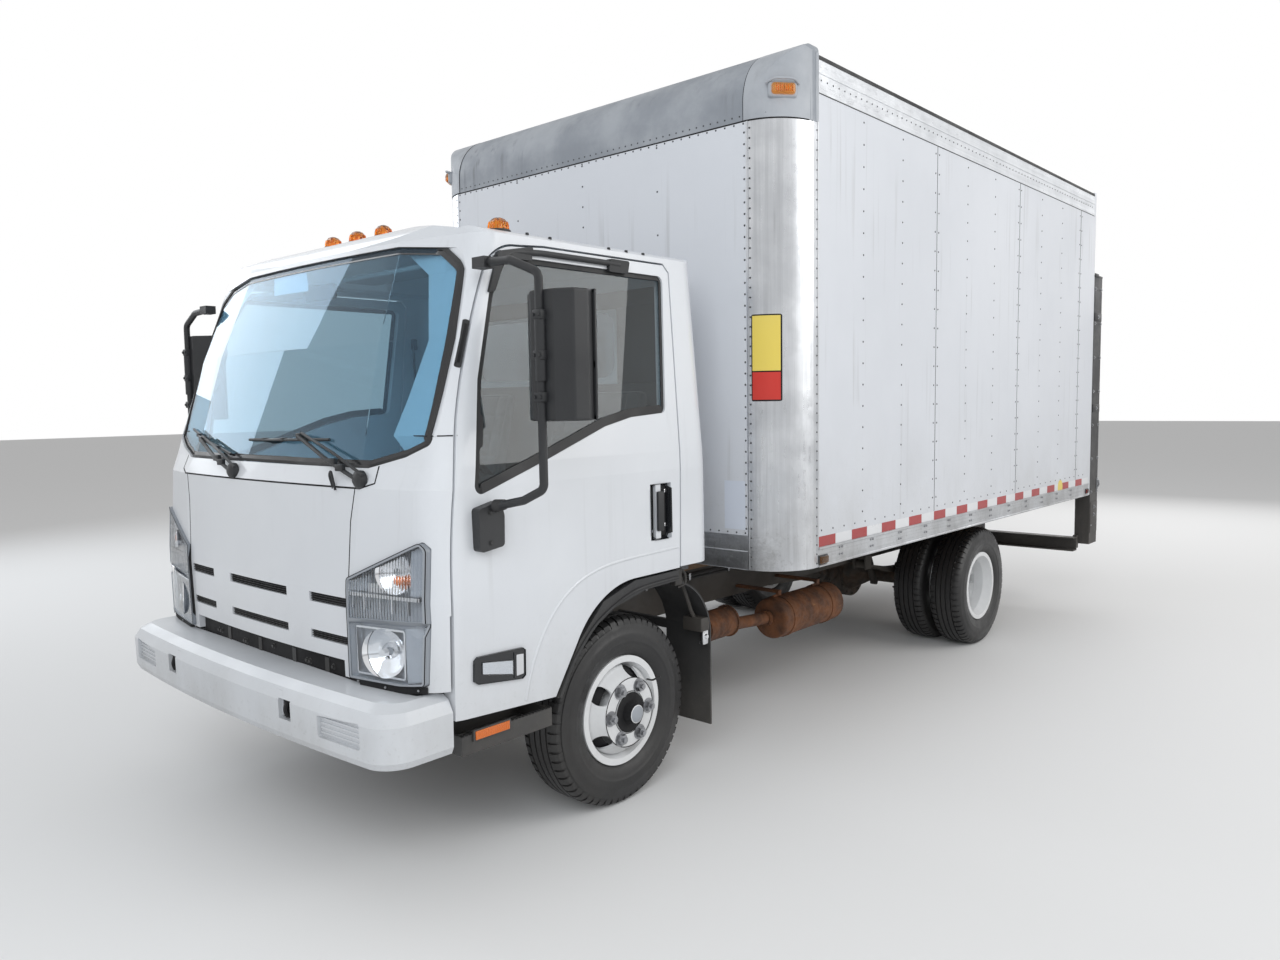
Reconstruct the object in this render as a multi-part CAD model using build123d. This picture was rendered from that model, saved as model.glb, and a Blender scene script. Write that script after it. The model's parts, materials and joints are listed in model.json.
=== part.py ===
# Box truck: a low cab-forward medium truck with a dry-freight box and a rail lift at its tail.
# Millimetres. The truck faces -Y, its left (driver's) side is +X, and +Z is up.
# Lengths along the truck are stations from the front axle, positive to the rear. Each finished
# piece is moved forward by MID_STATION, so that the origin is on the ground at the middle of the
# truck's length and width.
import math
import os

from build123d import *

os.makedirs("parts", exist_ok=True)

# Driving dimensions: running gear
FRONT_END = -1210
REAR_END = 5210
MID_STATION = (FRONT_END + REAR_END) / 2
WHEELBASE = 3365
TYRE_R = 386
TYRE_W = 215
BEAD_R = 203
RIM_W = 178
RIM_FLANGE_R = 222
FRONT_WHEEL_X = 832
DUAL_CENTRE_X = 825
DUAL_SPACING = 254
MOUNT_FACE_OFFSET = 127
KINGPIN_X = 740
HAND_HOLE_R = 160
HUB_BORE_R = 82

# Driving dimensions: chassis frame
RAIL_OUT_X = 425
RAIL_FLANGE = 65
RAIL_Z = (560, 755)
RAIL_Y = (-1010, 4940)
WEB = 8

# Driving dimensions: cab
CAB_WALL = 48
CAB_BACK = 480
DOOR_GAP = 8
DOOR_DEPTH = 72
FLOOR_Z = (905, 945)
FOOTWELL_Z = 592
FOOTWELL_X = 470

# Driving dimensions: freight box
BOX_HALF = 1225
BOX_FRONT = 752
BOX_SEAM_Y = 1007
BOX_SEAM_X = 1014
BOX_END = 4981
BOX_WALL = 40
BOX_BOTTOM = 861
BOX_DECK = (953, 985)
RAIL_LIP = 7
RAIL_FACE = 3
BOX_CAP_Z = 2848
BOX_RAIL_Z = 3000
BOX_TOP = 3150
NOSE_RISE = 32
BOX_NOSE_R = 255
SILL_PITCH = 304.8
SILL_FIRST = 1206
REAR_FRAME_DEPTH = 45
DOOR_TOP = 2900
DOOR_PANELS = 5

# Driving dimensions: lift
COLUMN_Z = (473, 2540)
COLUMN_Y = (5026, 5210)
COLUMN_X = (1120, 1228)
PLATFORM_T = 40
PLATFORM_Y = 5096
PLATFORM_Z = (972, 2100)
PLATFORM_SKIN = 8
RAMP_Z = 1760
FOLD_Y = PLATFORM_Y + PLATFORM_T / 2
FOLD_Z = 945
PIN_R = 10


# Helpers
def block(x, y, z):
    """A box between two values on each axis."""
    size = [abs(b - a) for a, b in (x, y, z)]
    centre = [(a + b) / 2 for a, b in (x, y, z)]
    return Pos(*centre) * Box(*size)


def side_face(points, round_by=0):
    """A closed outline in the side view, points as (station, height)."""
    face = Plane.YZ * make_face(Polyline(*points, close=True))
    return fillet(face.vertices(), round_by) if round_by else face


def side_prism(face, x):
    return Pos(x[0], 0, 0) * extrude(face, amount=x[1] - x[0], dir=(1, 0, 0))


def side_shape(points, x, round_by=0):
    return side_prism(side_face(points, round_by), x)


def front_shape(points, y, round_by=0):
    """A prism along the truck from an outline in the front view, points as (x, height)."""
    face = Plane.XZ * make_face(Polyline(*points, close=True))
    if round_by:
        face = fillet(face.vertices(), round_by)
    return Pos(0, y[0], 0) * extrude(face, amount=y[1] - y[0], dir=(0, 1, 0))


def plan_shape(points, z, round_by=0):
    face = Plane.XY * make_face(Polyline(*points, close=True))
    if round_by:
        face = fillet(face.vertices(), round_by)
    return Pos(0, 0, z[0]) * extrude(face, amount=z[1] - z[0], dir=(0, 0, 1))


def rod(start, end, radius):
    """A round bar from one point to another."""
    line = Line(start, end)
    return sweep(Plane(origin=start, z_dir=line % 0) * Circle(radius), path=line)


def mirrored(shape):
    return mirror(shape, about=Plane.YZ)


def pair(shape):
    """A piece and its mirror image across the truck, which do not touch."""
    return shape + mirrored(shape)


def save(name, shape):
    export_step(Pos(0, -MID_STATION, 0) * shape, f"parts/{name}.step")


# Cab: outer form
# Columns: height, half width, centre station, corner start x and station, corner slope in
# degrees, corner radius
CAB_SECTIONS = [
    (560, 1016, -1046, 640, -1025, 9, 130),
    (990, 1024, -1054, 640, -1033, 9, 130),
    (1356, 1020, -1040, 681, -1013, 11, 125),
    (1430, 1016, -1012, 640, -988, 10, 112),
    (1850, 977, -898, 600, -876, 10, 103),
    (2212, 943, -760, 560, -738, 10, 95),
]
REAR_CORNER_R = 95


def cab_section(row, inset):
    """One level of the cab: a bowed front, slanted corners, rounded ends, straight sides."""
    z, half, centre_y, x1, y1, slope, radius = row
    half, centre_y, y1, radius = half - inset, centre_y + inset, y1 + inset, radius - inset / 2
    a = math.radians(slope)
    x2 = half - radius + radius * math.sin(a)
    y2 = y1 + (x2 - x1) * math.tan(a)
    centre = (half - radius, y2 + radius * math.cos(a))
    mid = (a - math.pi / 2) / 2
    bend = (centre[0] + radius * math.cos(mid), centre[1] + radius * math.sin(mid))
    rear_r = REAR_CORNER_R - inset / 2
    back = CAB_BACK - inset
    rear = (half - rear_r, back - rear_r)
    rear_bend = (rear[0] + rear_r * math.sqrt(0.5), rear[1] + rear_r * math.sqrt(0.5))

    def flip(p):
        return (-p[0], p[1])

    edges = [
        ThreePointArc((-x1, y1), (0, centre_y), (x1, y1)),
        Line((x1, y1), (x2, y2)),
        ThreePointArc((x2, y2), bend, (half, centre[1])),
        Line((half, centre[1]), (half, rear[1])),
        ThreePointArc((half, rear[1]), rear_bend, (rear[0], back)),
        Line((rear[0], back), flip((rear[0], back))),
        ThreePointArc(flip((rear[0], back)), flip(rear_bend), flip((half, rear[1]))),
        Line(flip((half, rear[1])), flip((half, centre[1]))),
        ThreePointArc(flip((half, centre[1])), flip(bend), flip((x2, y2))),
        Line(flip((x2, y2)), (-x1, y1)),
    ]
    return Pos(0, 0, z) * make_face(edges)


def cab_form(inset):
    return loft([cab_section(row, inset) for row in CAB_SECTIONS], ruled=True)


CAB_TOP = CAB_SECTIONS[-1][0]
cab_outer = cab_form(0)
cab_wall = cab_outer - cab_form(CAB_WALL)
glass_layer = cab_form(10) - cab_form(16)

# Side view of the door: the front edge leans back along the pillar, the foot follows the wheel
DOOR_EDGE = [
    Line((-454, 573), (-896, 598)),
    Line((-896, 598), (-896, 936)),
    ThreePointArc((-896, 936), (-881, 1300), (-837, 1587)),
    ThreePointArc((-837, 1587), (-765, 1845), (-665, 2100)),
    ThreePointArc((-665, 2100), (-614, 2150), (-531, 2172)),
    Line((-531, 2172), (-400, 2182)),
    Line((-400, 2182), (255, 2184)),
    Line((255, 2184), (285, 2154)),
    Line((285, 2154), (250, 946)),
    Line((250, 946), (-20, 943)),
    ThreePointArc((-20, 943), (-205, 893), (-340, 757)),
    Line((-340, 757), (-454, 573)),
]
WINDOW_POINTS = [(-590, 2138), (-668, 2003), (-750, 1712), (-803, 1322), (-467, 1433),
                 (-161, 1540), (-10, 1572), (196, 1586), (248, 2138)]
SIDE_SPAN = (700, 1100)


def flank(depth):
    """The space outside a given depth under the cab's side, at every height."""
    inner = [(half - depth, z) for z, half, *_ in CAB_SECTIONS]
    return front_shape([(1100, CAB_SECTIONS[0][0])] + inner + [(1100, CAB_TOP)], (-1100, 600))


door_face = Plane.YZ * make_face(DOOR_EDGE)
window_hole = side_shape(WINDOW_POINTS, SIDE_SPAN, 28)
door_hole = side_prism(offset(door_face, DOOR_GAP, kind=Kind.INTERSECTION), SIDE_SPAN)
door_hole = door_hole & flank(DOOR_DEPTH + DOOR_GAP)
door_solid = cab_wall & side_prism(door_face, SIDE_SPAN) & flank(DOOR_DEPTH)
door_glass = glass_layer & window_hole & flank(DOOR_DEPTH)

# How far back the windscreen reaches round the corners, in the side view
FRONT_ZONE = [(-1200, 500), (-905, 500), (-905, 1380), (-898, 1528), (-854, 1661), (-784, 1880),
              (-717, 2083), (-700, 2216), (-1200, 2216)]
front_zone = side_shape(FRONT_ZONE, (-1100, 1100))

# Front view of the windscreen: straight foot, rising wide lower corners, leaning sides
SCREEN_POINTS = [(-690, 1422), (690, 1422), (850, 1461), (942, 1500), (958, 1590), (952, 1800),
                 (922, 2060), (872, 2160), (560, 2194), (-560, 2194), (-872, 2160), (-922, 2060),
                 (-952, 1800), (-958, 1590), (-942, 1500), (-850, 1461)]
screen_hole = front_shape(SCREEN_POINTS, (-1100, -500), 22) & front_zone

# Front view of the head lamps, upper turn lamp over the round head lamp
LAMP_POINTS = [(616, 703), (860, 708), (966, 722), (980, 930), (980, 1172), (958, 1194),
               (622, 1052)]
LAMP_SPLIT = [(600, 901), (1000, 921), (1000, 932), (600, 912)]
LAMP_PROUD = 10
lamp_hole = front_shape(LAMP_POINTS, (-1150, -909), 12)
lamp_holes = pair(lamp_hole)

PANEL_POINTS = [(-614, 700), (614, 700), (622, 1060), (632, 1242), (656, 1357), (-656, 1357),
                (-632, 1242), (-622, 1060)]
panel_region = front_shape(PANEL_POINTS, (-1150, -940))

REAR_WINDOW_POINTS = [(-500, 1745), (500, 1745), (500, 2040), (-500, 2040)]
rear_window_hole = front_shape(REAR_WINDOW_POINTS, (380, 520), 70)

# Slots in the front panel. Columns: x from, x to, z from, z to
SLOTS = [(380, 608, 943, 977), (-226, 226, 943, 977),
         (377, 604, 811, 841), (-224, 224, 811, 841), (-576, 576, 690, 757)]


def make_cab():
    shell = cab_wall - door_hole - mirrored(door_hole) - screen_hole - lamp_holes
    shell = shell - panel_region - rear_window_hole
    # Behind the bumper and over the wheels the shell is open, because the doors end there
    below = block((-1100, 1100), (-1200, 600), (500, 700))
    over_wheels = pair(block((850, 1100), (-909, 600), (500, 950)))
    under_floor = block((-1100, 1100), (0, 600), (500, FLOOR_Z[0]))
    save("cab_shell", shell - below - over_wheels - under_floor)

    panel = cab_wall & panel_region
    for x0, x1, z0, z1 in SLOTS:
        cut = block((x0, x1), (-1150, -900), (z0, z1))
        panel = panel - cut
        if x0 > 0:
            panel = panel - mirrored(cut)
    save("front_panel", panel)

    lamp = (cab_form(-LAMP_PROUD) - cab_form(CAB_WALL)) & lamp_hole
    groove = front_shape(LAMP_SPLIT, (-1150, -909)) - cab_form(4)
    save("headlamps", pair(lamp - groove))

    save("windscreen", glass_layer & screen_hole)
    save("rear_window", glass_layer & rear_window_hole)


def make_cab_floor():
    """A flat floor over the wheels and engine, with a footwell on each side ahead of them."""
    t = 30
    inner = 925
    floor = plan_shape([(-inner, -880), (-850, -985), (850, -985), (inner, -880),
                        (inner, CAB_BACK - CAB_WALL), (-inner, CAB_BACK - CAB_WALL)], FLOOR_Z)
    well = [(-985, 945), (-985, FOOTWELL_Z), (-470, FOOTWELL_Z), (-330, 830), (-200, 905),
            (-200, 945)]
    outer = side_shape(well, (FOOTWELL_X - t, inner))
    hollow = side_shape([(-985 + t, 960), (-985 + t, FOOTWELL_Z + t), (-488, FOOTWELL_Z + t),
                         (-352, 852), (-215, 930), (-215, 960)], (FOOTWELL_X, inner - t))
    corner = plan_shape([(inner - 115, -1000), (1000, -1000), (1000, -880)], (500, 1000))
    floor = floor + pair(outer) - pair(hollow) - pair(corner)
    save("cab_floor", floor & cab_form(CAB_WALL))


def roof_form(inset):
    """A crowned panel turned down on all sides to the tops of the walls."""
    half, top, foot = CAB_SECTIONS[-1][1] + 10 - inset, 2308 - inset, CAB_TOP - 20
    shoulder = (half - 110, foot + 40 - inset)
    turn = (half - 26, foot + 26 - 0.6 * inset)
    front = Plane.XZ * make_face([
        Line((-half, foot), (half, foot)),
        ThreePointArc((half, foot), turn, shoulder),
        ThreePointArc(shoulder, (0, top), (-shoulder[0], shoulder[1])),
        ThreePointArc((-shoulder[0], shoulder[1]), (-turn[0], turn[1]), (-half, foot)),
    ])
    crown = Pos(0, -900, 0) * extrude(front, amount=1500, dir=(0, 1, 0))
    y0, y1 = CAB_SECTIONS[-1][2] - 10 + inset, CAB_BACK + 10 - inset
    side = Plane.YZ * make_face([
        Line((y1, foot), (y0, foot)),
        ThreePointArc((y0, foot), (y0 + 62, 2254 - inset), (y0 + 190, 2290 - inset)),
        ThreePointArc((y0 + 190, 2290 - inset), (-180, top), (y1 - 210, 2286 - inset)),
        ThreePointArc((y1 - 210, 2286 - inset), (y1 - 50, foot + 48 - 0.8 * inset), (y1, foot)),
    ])
    length = Pos(-1000, 0, 0) * extrude(side, amount=2000, dir=(1, 0, 0))
    upright = extrude(cab_section(CAB_SECTIONS[-1], inset), amount=200, dir=(0, 0, 1))
    return crown & length & upright


def make_roof():
    save("cab_roof", roof_form(0) - roof_form(30))


# Bumper: levels as (height, how far it stands in)
BUMPER_SECTIONS = [(490, 14), (515, 2), (630, 0), (668, 22), (688, 60)]
BUMPER_WALL = 26
BUMPER_BACK = -905
BUMPER_BOW = 38


def bumper_plan(inset):
    """A bowed front with rounded corners and short flanks."""
    half, front = 1010 - inset, FRONT_END + inset
    r = 115 - inset / 2
    wing = front + BUMPER_BOW
    bend = (half - r * 0.293, wing + r * 0.293)
    return make_face([
        ThreePointArc((r - half, wing), (0, front), (half - r, wing)),
        ThreePointArc((half - r, wing), bend, (half, wing + r)),
        Line((half, wing + r), (half, BUMPER_BACK)),
        Line((half, BUMPER_BACK), (-half, BUMPER_BACK)),
        Line((-half, BUMPER_BACK), (-half, wing + r)),
        ThreePointArc((-half, wing + r), (-bend[0], bend[1]), (r - half, wing)),
    ])


def bumper_form(inset):
    return loft([Pos(0, 0, z) * bumper_plan(step + inset) for z, step in BUMPER_SECTIONS],
                ruled=True)


def make_bumper():
    ledge = 664
    skin = bumper_form(0) - (bumper_form(BUMPER_WALL) & block((-1100, 1100), (-1300, -800),
                                                             (400, ledge)))
    inner = plan_shape([(-1100, -800), (-1100, -904), (-960, -904), (-925, -985), (-700, -1020),
                        (700, -1020), (925, -985), (960, -904), (1100, -904), (1100, -800)],
                       (ledge - 1, 700))
    hooks = pair(block((421, 495), (-1300, -1100), (565, 635)))
    fogs = pair(front_shape([(655, 548), (880, 548), (880, 634), (655, 620)], (-1300, -1000), 8))
    stays = pair(block((RAIL_OUT_X - RAIL_FLANGE, RAIL_OUT_X), (FRONT_END + 24, RAIL_Y[0]),
                       (RAIL_Z[0] + 10, ledge - 4)))
    save("bumper", skin - inner - hooks - fogs + stays)


# Cab inside: side view of the dashboard
DASH_POINTS = [(-975, 960), (-940, 1330), (-800, 1400), (-640, 1385), (-590, 1290),
               (-640, 1120), (-760, 960)]


def make_inside():
    dash = side_shape(DASH_POINTS, (-920, 920))
    hood = side_shape([(-740, 1380), (-640, 1430), (-590, 1400), (-580, 1300), (-700, 1300)],
                      (330, 730))
    dash = (dash + hood) & cab_form(CAB_WALL + 2)
    save("dashboard", dash)

    column = rod((530, -640, 1180), (530, -478, 1290), 32)
    tilt = Plane(origin=(530, -455, 1306), z_dir=(0, 0.83, 0.56))
    grip = Plane.XZ * Pos(205, 0) * RegularPolygon(16, 8)
    wheel = tilt * revolve(grip, axis=Axis.Z)
    hub = tilt * Pos(0, 0, -14) * Cylinder(60, 44)
    spokes = tilt * (Box(410, 34, 14) + Pos(0, -100, 0) * Box(34, 200, 14))
    save("steering_wheel", (column + wheel + hub + spokes) - side_shape(DASH_POINTS, (0, 900)))

    def seat(x0, x1):
        base = block((x0 + 40, x1 - 40), (-260, 200), (946, 1120))
        cushion = block((x0, x1), (-300, 210), (1120, 1250))
        cushion = fillet(cushion.edges(), 30)
        back = side_shape([(150, 1251), (270, 1251), (368, 1680), (278, 1698)], (x0, x1), 25)
        return base + cushion + back
    save("seats", seat(260, 800) + seat(-880, -60))


# Doors and mirrors
def make_doors():
    door = door_solid - window_hole
    recess = block((1000, 1060), (74, 202), (1077, 1303))
    pull = block((1004, 1018), (110, 140), (1077, 1303))
    door = door - recess + pull
    save("door_left", door)
    save("door_right", mirrored(door))
    save("door_glass_left", door_glass)
    save("door_glass_right", mirrored(door_glass))

    path = FilletPolyline((1035, -733, 2090), (1150, -733, 2085), (1272, -725, 2035),
                          (1275, -725, 1360), (1200, -745, 1322), (1040, -755, 1290), radius=30)
    start = Plane(origin=path @ 0, z_dir=path % 0)
    tube = sweep(start * Circle(14), path=path)
    pod = side_shape([(-815, 1290), (-722, 1312), (-708, 1262), (-710, 1160), (-812, 1146)],
                     (1010, 1060), 14)
    top_pod = block((985, 1048), (-755, -708), (2072, 2108))
    shell = plan_shape([(1150, -665), (1150, -600), (1382, -600), (1394, -634), (1382, -684),
                        (1325, -716), (1225, -722)], (1574, 1984), 12)
    shell = fillet(shell.edges().group_by(Axis.Z)[-1] + shell.edges().group_by(Axis.Z)[0], 9)
    arm = pod + top_pod + tube + shell
    arm = arm - cab_outer
    save("mirror_left", arm)
    save("mirror_right", mirrored(arm))


# Wheels
def ring(points, x, y):
    """A solid of revolution about a wheel's axle, points as (distance along X, radius)."""
    face = Plane.XY * make_face(Polyline(*points, close=True))
    return Pos(x, y, TYRE_R) * revolve(face, axis=Axis.X)


def tyre(x, y):
    h, r = TYRE_W / 2, TYRE_R
    bead = RIM_W / 2 - 12
    half = [(bead, BEAD_R), (bead, RIM_FLANGE_R + 1), (h - 4, 250), (h, 305), (h - 14, 362),
            (h - 34, r)]
    return ring(half + [(-a, b) for a, b in reversed(half)], x, y)


def rim(x, y, disc):
    """A dished steel wheel. disc is the way its centre bulges, +1 towards +X."""
    h, t = RIM_W / 2, 7
    barrel = ring([(-h, RIM_FLANGE_R), (-h, BEAD_R - t), (-26, 184 - t), (34, 184 - t),
                   (h, BEAD_R - t), (h, RIM_FLANGE_R),
                   (h - 11, RIM_FLANGE_R), (h - 12, BEAD_R), (50, BEAD_R), (32, 184),
                   (-24, 184), (-42, BEAD_R), (-h + 12, BEAD_R), (-h + 11, RIM_FLANGE_R)], x, y)
    f = MOUNT_FACE_OFFSET
    dish = [(30, 184), (30, 177), (62, 172), (104, 148), (f - 8, 140), (f - 8, HUB_BORE_R),
            (f, HUB_BORE_R), (f, 142), (112, 152), (70, 180), (44, 184)]
    dish = [(disc * a, b) for a, b in dish]
    centre = ring(dish, x, y)
    for i in range(5):
        a = math.radians(2 + 72 * i)
        hole = Pos(x + disc * 90, y + HAND_HOLE_R * math.cos(a),
                   TYRE_R + HAND_HOLE_R * math.sin(a))
        slot = Rot(0, 90, 0) * extrude(SlotOverall(74, 46, rotation=math.degrees(a)), 80, both=True)
        centre = centre - hole * slot
    return barrel + centre


def front_hub(x, y, side):
    f = MOUNT_FACE_OFFSET
    body = [(-10, 36), (-10, 148), (-48, 148), (-48, 160), (24, 160), (24, 100), (f - 8, 100),
            (f - 8, HUB_BORE_R - 1), (f + 4, HUB_BORE_R - 2), (f + 4, 45), (f + 40, 38),
            (f + 46, 24), (f + 46, 0), (f + 10, 0), (f + 10, 36)]
    return ring([(side * a, b) for a, b in body], x, y)


def rear_hub(side):
    x = DUAL_CENTRE_X
    body = [(-130, 62), (-130, 160), (-8, 160), (-8, 140), (8, 140), (8, HUB_BORE_R - 1),
            (60, 76), (92, 60), (92, 0), (78, 0), (78, 62)]
    return ring([(side * a, b) for a, b in body], side * x, WHEELBASE)


def make_wheels():
    for side, word in ((1, "left"), (-1, "right")):
        x = side * FRONT_WHEEL_X
        wheel = rim(x, 0, side) + front_hub(x, 0, side)
        save(f"rim_front_{word}", wheel)
        save(f"tyre_front_{word}", tyre(x, 0))
        inner = side * (DUAL_CENTRE_X - DUAL_SPACING / 2)
        outer = side * (DUAL_CENTRE_X + DUAL_SPACING / 2)
        twins = rim(inner, WHEELBASE, side) + rim(outer, WHEELBASE, -side) + rear_hub(side)
        save(f"rims_rear_{word}", twins)
        save(f"tyres_rear_{word}", tyre(inner, WHEELBASE) + tyre(outer, WHEELBASE))


# Running gear
def make_front_axle():
    beam = front_shape([(-700, 400), (-640, 372), (-560, 318), (560, 318), (640, 372), (700, 400),
                        (700, 348), (650, 300), (570, 262), (-570, 262), (-650, 300), (-700, 348)],
                       (-45, 45))
    web = pair(block((0, 540), (20, 46), (280, 300)))
    eyes = pair(Pos(KINGPIN_X, 0, 374) * Cylinder(38, 84))
    eyes = eyes + pair(block((690, 715), (-36, 36), (350, 398)))
    pads = pair(block((365, 435), (-75, 75), (318, 336)))
    save("front_axle", beam + eyes + pads)


def make_knuckles():
    top = Pos(KINGPIN_X, 0, 374 + 42 + 6 + 14) * Cylinder(38, 28)
    foot = Pos(KINGPIN_X, 0, 299) * Cylinder(38, 54)
    bridge = block((785, 812), (-55, 55), (312, 450))
    ears = block((KINGPIN_X, 800), (-36, 36), (422, 450)) + block((KINGPIN_X, 800), (-36, 36),
                                                                    (298, 326))
    spindle = Pos(870, 0, TYRE_R) * Rot(0, 90, 0) * Cylinder(35.5, 130)
    arm = plan_shape([(765, -30), (765, 40), (705, 190), (675, 190), (715, 30)], (272, 292))
    knuckle = top + foot + ears + bridge + spindle + arm
    save("knuckle_left", knuckle)
    save("knuckle_right", mirrored(knuckle))


def leaf_pack(x, y, z, length, leaves, sag, width=70, leaf=11):
    """Leaves under each other, each shorter, all bent to one arc, with an eye at each end."""
    pack = None
    for i in range(leaves):
        half = length / 2 * (1 - i * 0.75 / leaves)
        drop = sag * (half / (length / 2)) ** 2
        z0 = z - i * leaf
        face = Plane.YZ * make_face([
            ThreePointArc((y - half, z0 + drop), (y, z0), (y + half, z0 + drop)),
            Line((y + half, z0 + drop), (y + half, z0 + drop - leaf)),
            ThreePointArc((y + half, z0 + drop - leaf), (y, z0 - leaf), (y - half, z0 + drop - leaf)),
            Line((y - half, z0 + drop - leaf), (y - half, z0 + drop)),
        ])
        piece = Pos(x - width / 2, 0, 0) * extrude(face, amount=width, dir=(1, 0, 0))
        pack = piece if pack is None else pack + piece
    for end in (-1, 1):
        pack = pack + Pos(x, y + end * length / 2, z + sag - leaf / 2) * Rot(0, 90, 0) * Cylinder(
            26, width)
    return pack


def make_springs():
    front = leaf_pack(400, 0, 358, 1150, 2, 120)
    rear = leaf_pack(510, WHEELBASE, 478, 1250, 3, 90)
    save("leaf_springs", pair(front) + pair(rear))


def make_rear_axle():
    tube = Pos(0, WHEELBASE, TYRE_R) * Rot(0, 90, 0) * Cylinder(55, 1400)
    bowl = Pos(0, WHEELBASE, TYRE_R) * Rot(0, 90, 0) * Cylinder(185, 190)
    bowl = bowl + Pos(0, WHEELBASE, TYRE_R) * Rot(0, 90, 0) * Cone(185, 60, 240, align=(
        Align.CENTER, Align.CENTER, Align.MIN)) + mirrored(
        Pos(0, WHEELBASE, TYRE_R) * Rot(0, 90, 0) * Cone(185, 60, 240, align=(
            Align.CENTER, Align.CENTER, Align.MIN)))
    nose = Pos(0, WHEELBASE - 190, TYRE_R + 20) * Rot(90, 0, 0) * Cylinder(80, 180)
    spindle = Pos(744, WHEELBASE, TYRE_R) * Rot(0, 90, 0) * Cylinder(61.5, 288)
    seats = pair(block((475, 545), (WHEELBASE - 90, WHEELBASE + 90), (TYRE_R, 445)))
    save("rear_axle", tube + bowl + nose + pair(spindle) + seats)


def make_frame():
    def channel(x_out, y, z, web, flange):
        """A rail with its web outside and its flanges turned in."""
        whole = block((x_out - flange, x_out), y, z)
        inside = block((x_out - flange - 1, x_out - web), y, (z[0] + web, z[1] - web))
        return whole - inside

    rails = pair(channel(RAIL_OUT_X, RAIL_Y, RAIL_Z, WEB, RAIL_FLANGE))
    inner = RAIL_OUT_X - WEB
    for y in (-960, 1000, 2020, 2560, 4020, 4880):
        cross = block((-inner, inner), (y - 35, y + 35), (RAIL_Z[0] + 52, RAIL_Z[1] - 30))
        cross = cross - block((-inner - 1, inner + 1), (y - 27, y + 36),
                              (RAIL_Z[0] + 60, RAIL_Z[1] - 38))
        rails = rails + cross
    # Spring hangers: station, centre x, foot height
    for y, x, z in ((-575, 400, 472), (575, 400, 472), (WHEELBASE - 625, 510, 562),
                    (WHEELBASE + 625, 510, 562)):
        ears = block((x - 46, x - 36), (y - 40, y + 40), (z - 30, RAIL_Z[0] + 60))
        ears = ears + block((x + 36, x + 46), (y - 40, y + 40), (z - 30, RAIL_Z[0] + 60))
        if x < RAIL_OUT_X:
            ears = ears & block((x - 60, x + 60), (y - 60, y + 60), (z - 60, RAIL_Z[0]))
            ears = ears + block((x - 46, x + 46), (y - 40, y + 40), (RAIL_Z[0] - 12, RAIL_Z[0]))
        else:
            ears = ears + block((RAIL_OUT_X, x + 46), (y - 40, y + 40), (RAIL_Z[0] + 40,
                                                                        RAIL_Z[0] + 60))
        rails = rails + pair(ears)
    # Cab mounts front and rear, and outriggers for the tank, box and muffler
    for y, z in ((-900, FOOTWELL_Z), (440, FLOOR_Z[0])):
        if y > 0:
            rails = rails + pair(block((330, 420), (y - 30, y + 30), (RAIL_Z[1], z)))
        else:
            rails = rails + pair(block((RAIL_OUT_X, 520), (y - 30, y + 30), (RAIL_Z[0], z)))
    save("chassis_frame", rails)


def make_engine():
    engine = block((-300, 300), (-420, 380), (430, 880))
    gearbox = block((-170, 170), (380, 900), (440, 740))
    mounts = pair(block((300, 417), (-60, 60), (620, 680)))
    save("engine_block", engine + gearbox + mounts)

    start, end = (0, 860, 562), (0, WHEELBASE - 240, TYRE_R + 20)
    save("drive_shaft", rod(start, end, 42) & block((-60, 60), (900, WHEELBASE - 280), (300, 700)))


def make_exhaust():
    muffler = Pos(700, 1690, 475) * Rot(90, 0, 0) * Cylinder(108, 600)
    muffler = fillet(muffler.edges(), 20)
    inlet = rod((640, 950, 500), (690, 1392, 480), 32)
    converter = Pos(620, 1000, 505) * Rot(90, 0, 0) * Cylinder(75, 260)
    outlet = rod((700, 1988, 470), (650, 2100, 400), 30)
    hangers = None
    for y in (1480, 1870):
        band = Pos(700, y, 475) * Rot(90, 0, 0) * Cylinder(112, 30)
        stay = block((RAIL_OUT_X, 705), (y - 15, y + 15), (600, 614))
        stay = stay + block((690, 705), (y - 15, y + 15), (560, 614))
        hangers = band + stay if hangers is None else hangers + band + stay
    save("exhaust", muffler + inlet + converter + outlet + hangers)


def make_tanks():
    tank = block((-860, -470), (1100, 1950), (430, 700))
    tank = fillet(tank.edges().filter_by(Axis.Y), 45)
    for y in (1225, 1825):
        strap = block((-864, -466), (y - 22, y + 22), (426, 704))
        strap = fillet(strap.edges().filter_by(Axis.Y), 48)
        tank = tank + strap + block((-470, -RAIL_OUT_X), (y - 25, y + 25), (640, 680))
    neck = Plane(origin=(-835, 1700, 655), z_dir=(-0.8, 0, 0.6)) * Cylinder(36, 90)
    cap = Plane(origin=(-866, 1700, 678), z_dir=(-0.8, 0, 0.6)) * Cylinder(46, 24)
    save("fuel_tank", tank + neck + cap)

    case = block((-830, -470), (2110, 2600), (430, 650))
    case = fillet(case.edges().filter_by(Axis.Z), 12)
    lid = block((-838, -462), (2102, 2608), (606, 650))
    case = case + chamfer(lid.edges().group_by(Axis.Z)[-1], 10)
    arm = block((-470, -RAIL_OUT_X), (2180, 2220), (590, 630)) + block(
        (-470, -RAIL_OUT_X), (2500, 2540), (590, 630))
    save("battery_box", case + arm)


# Wheel arches, steps and flaps
ARCH_OUTER = [(-446, 566), (-331, 750), (-199, 879), (-21, 932), (250, 935)]
ARCH_INNER = [(250, 893), (42, 886), (-137, 845), (-250, 787), (-370, 680), (-429, 566)]


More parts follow.
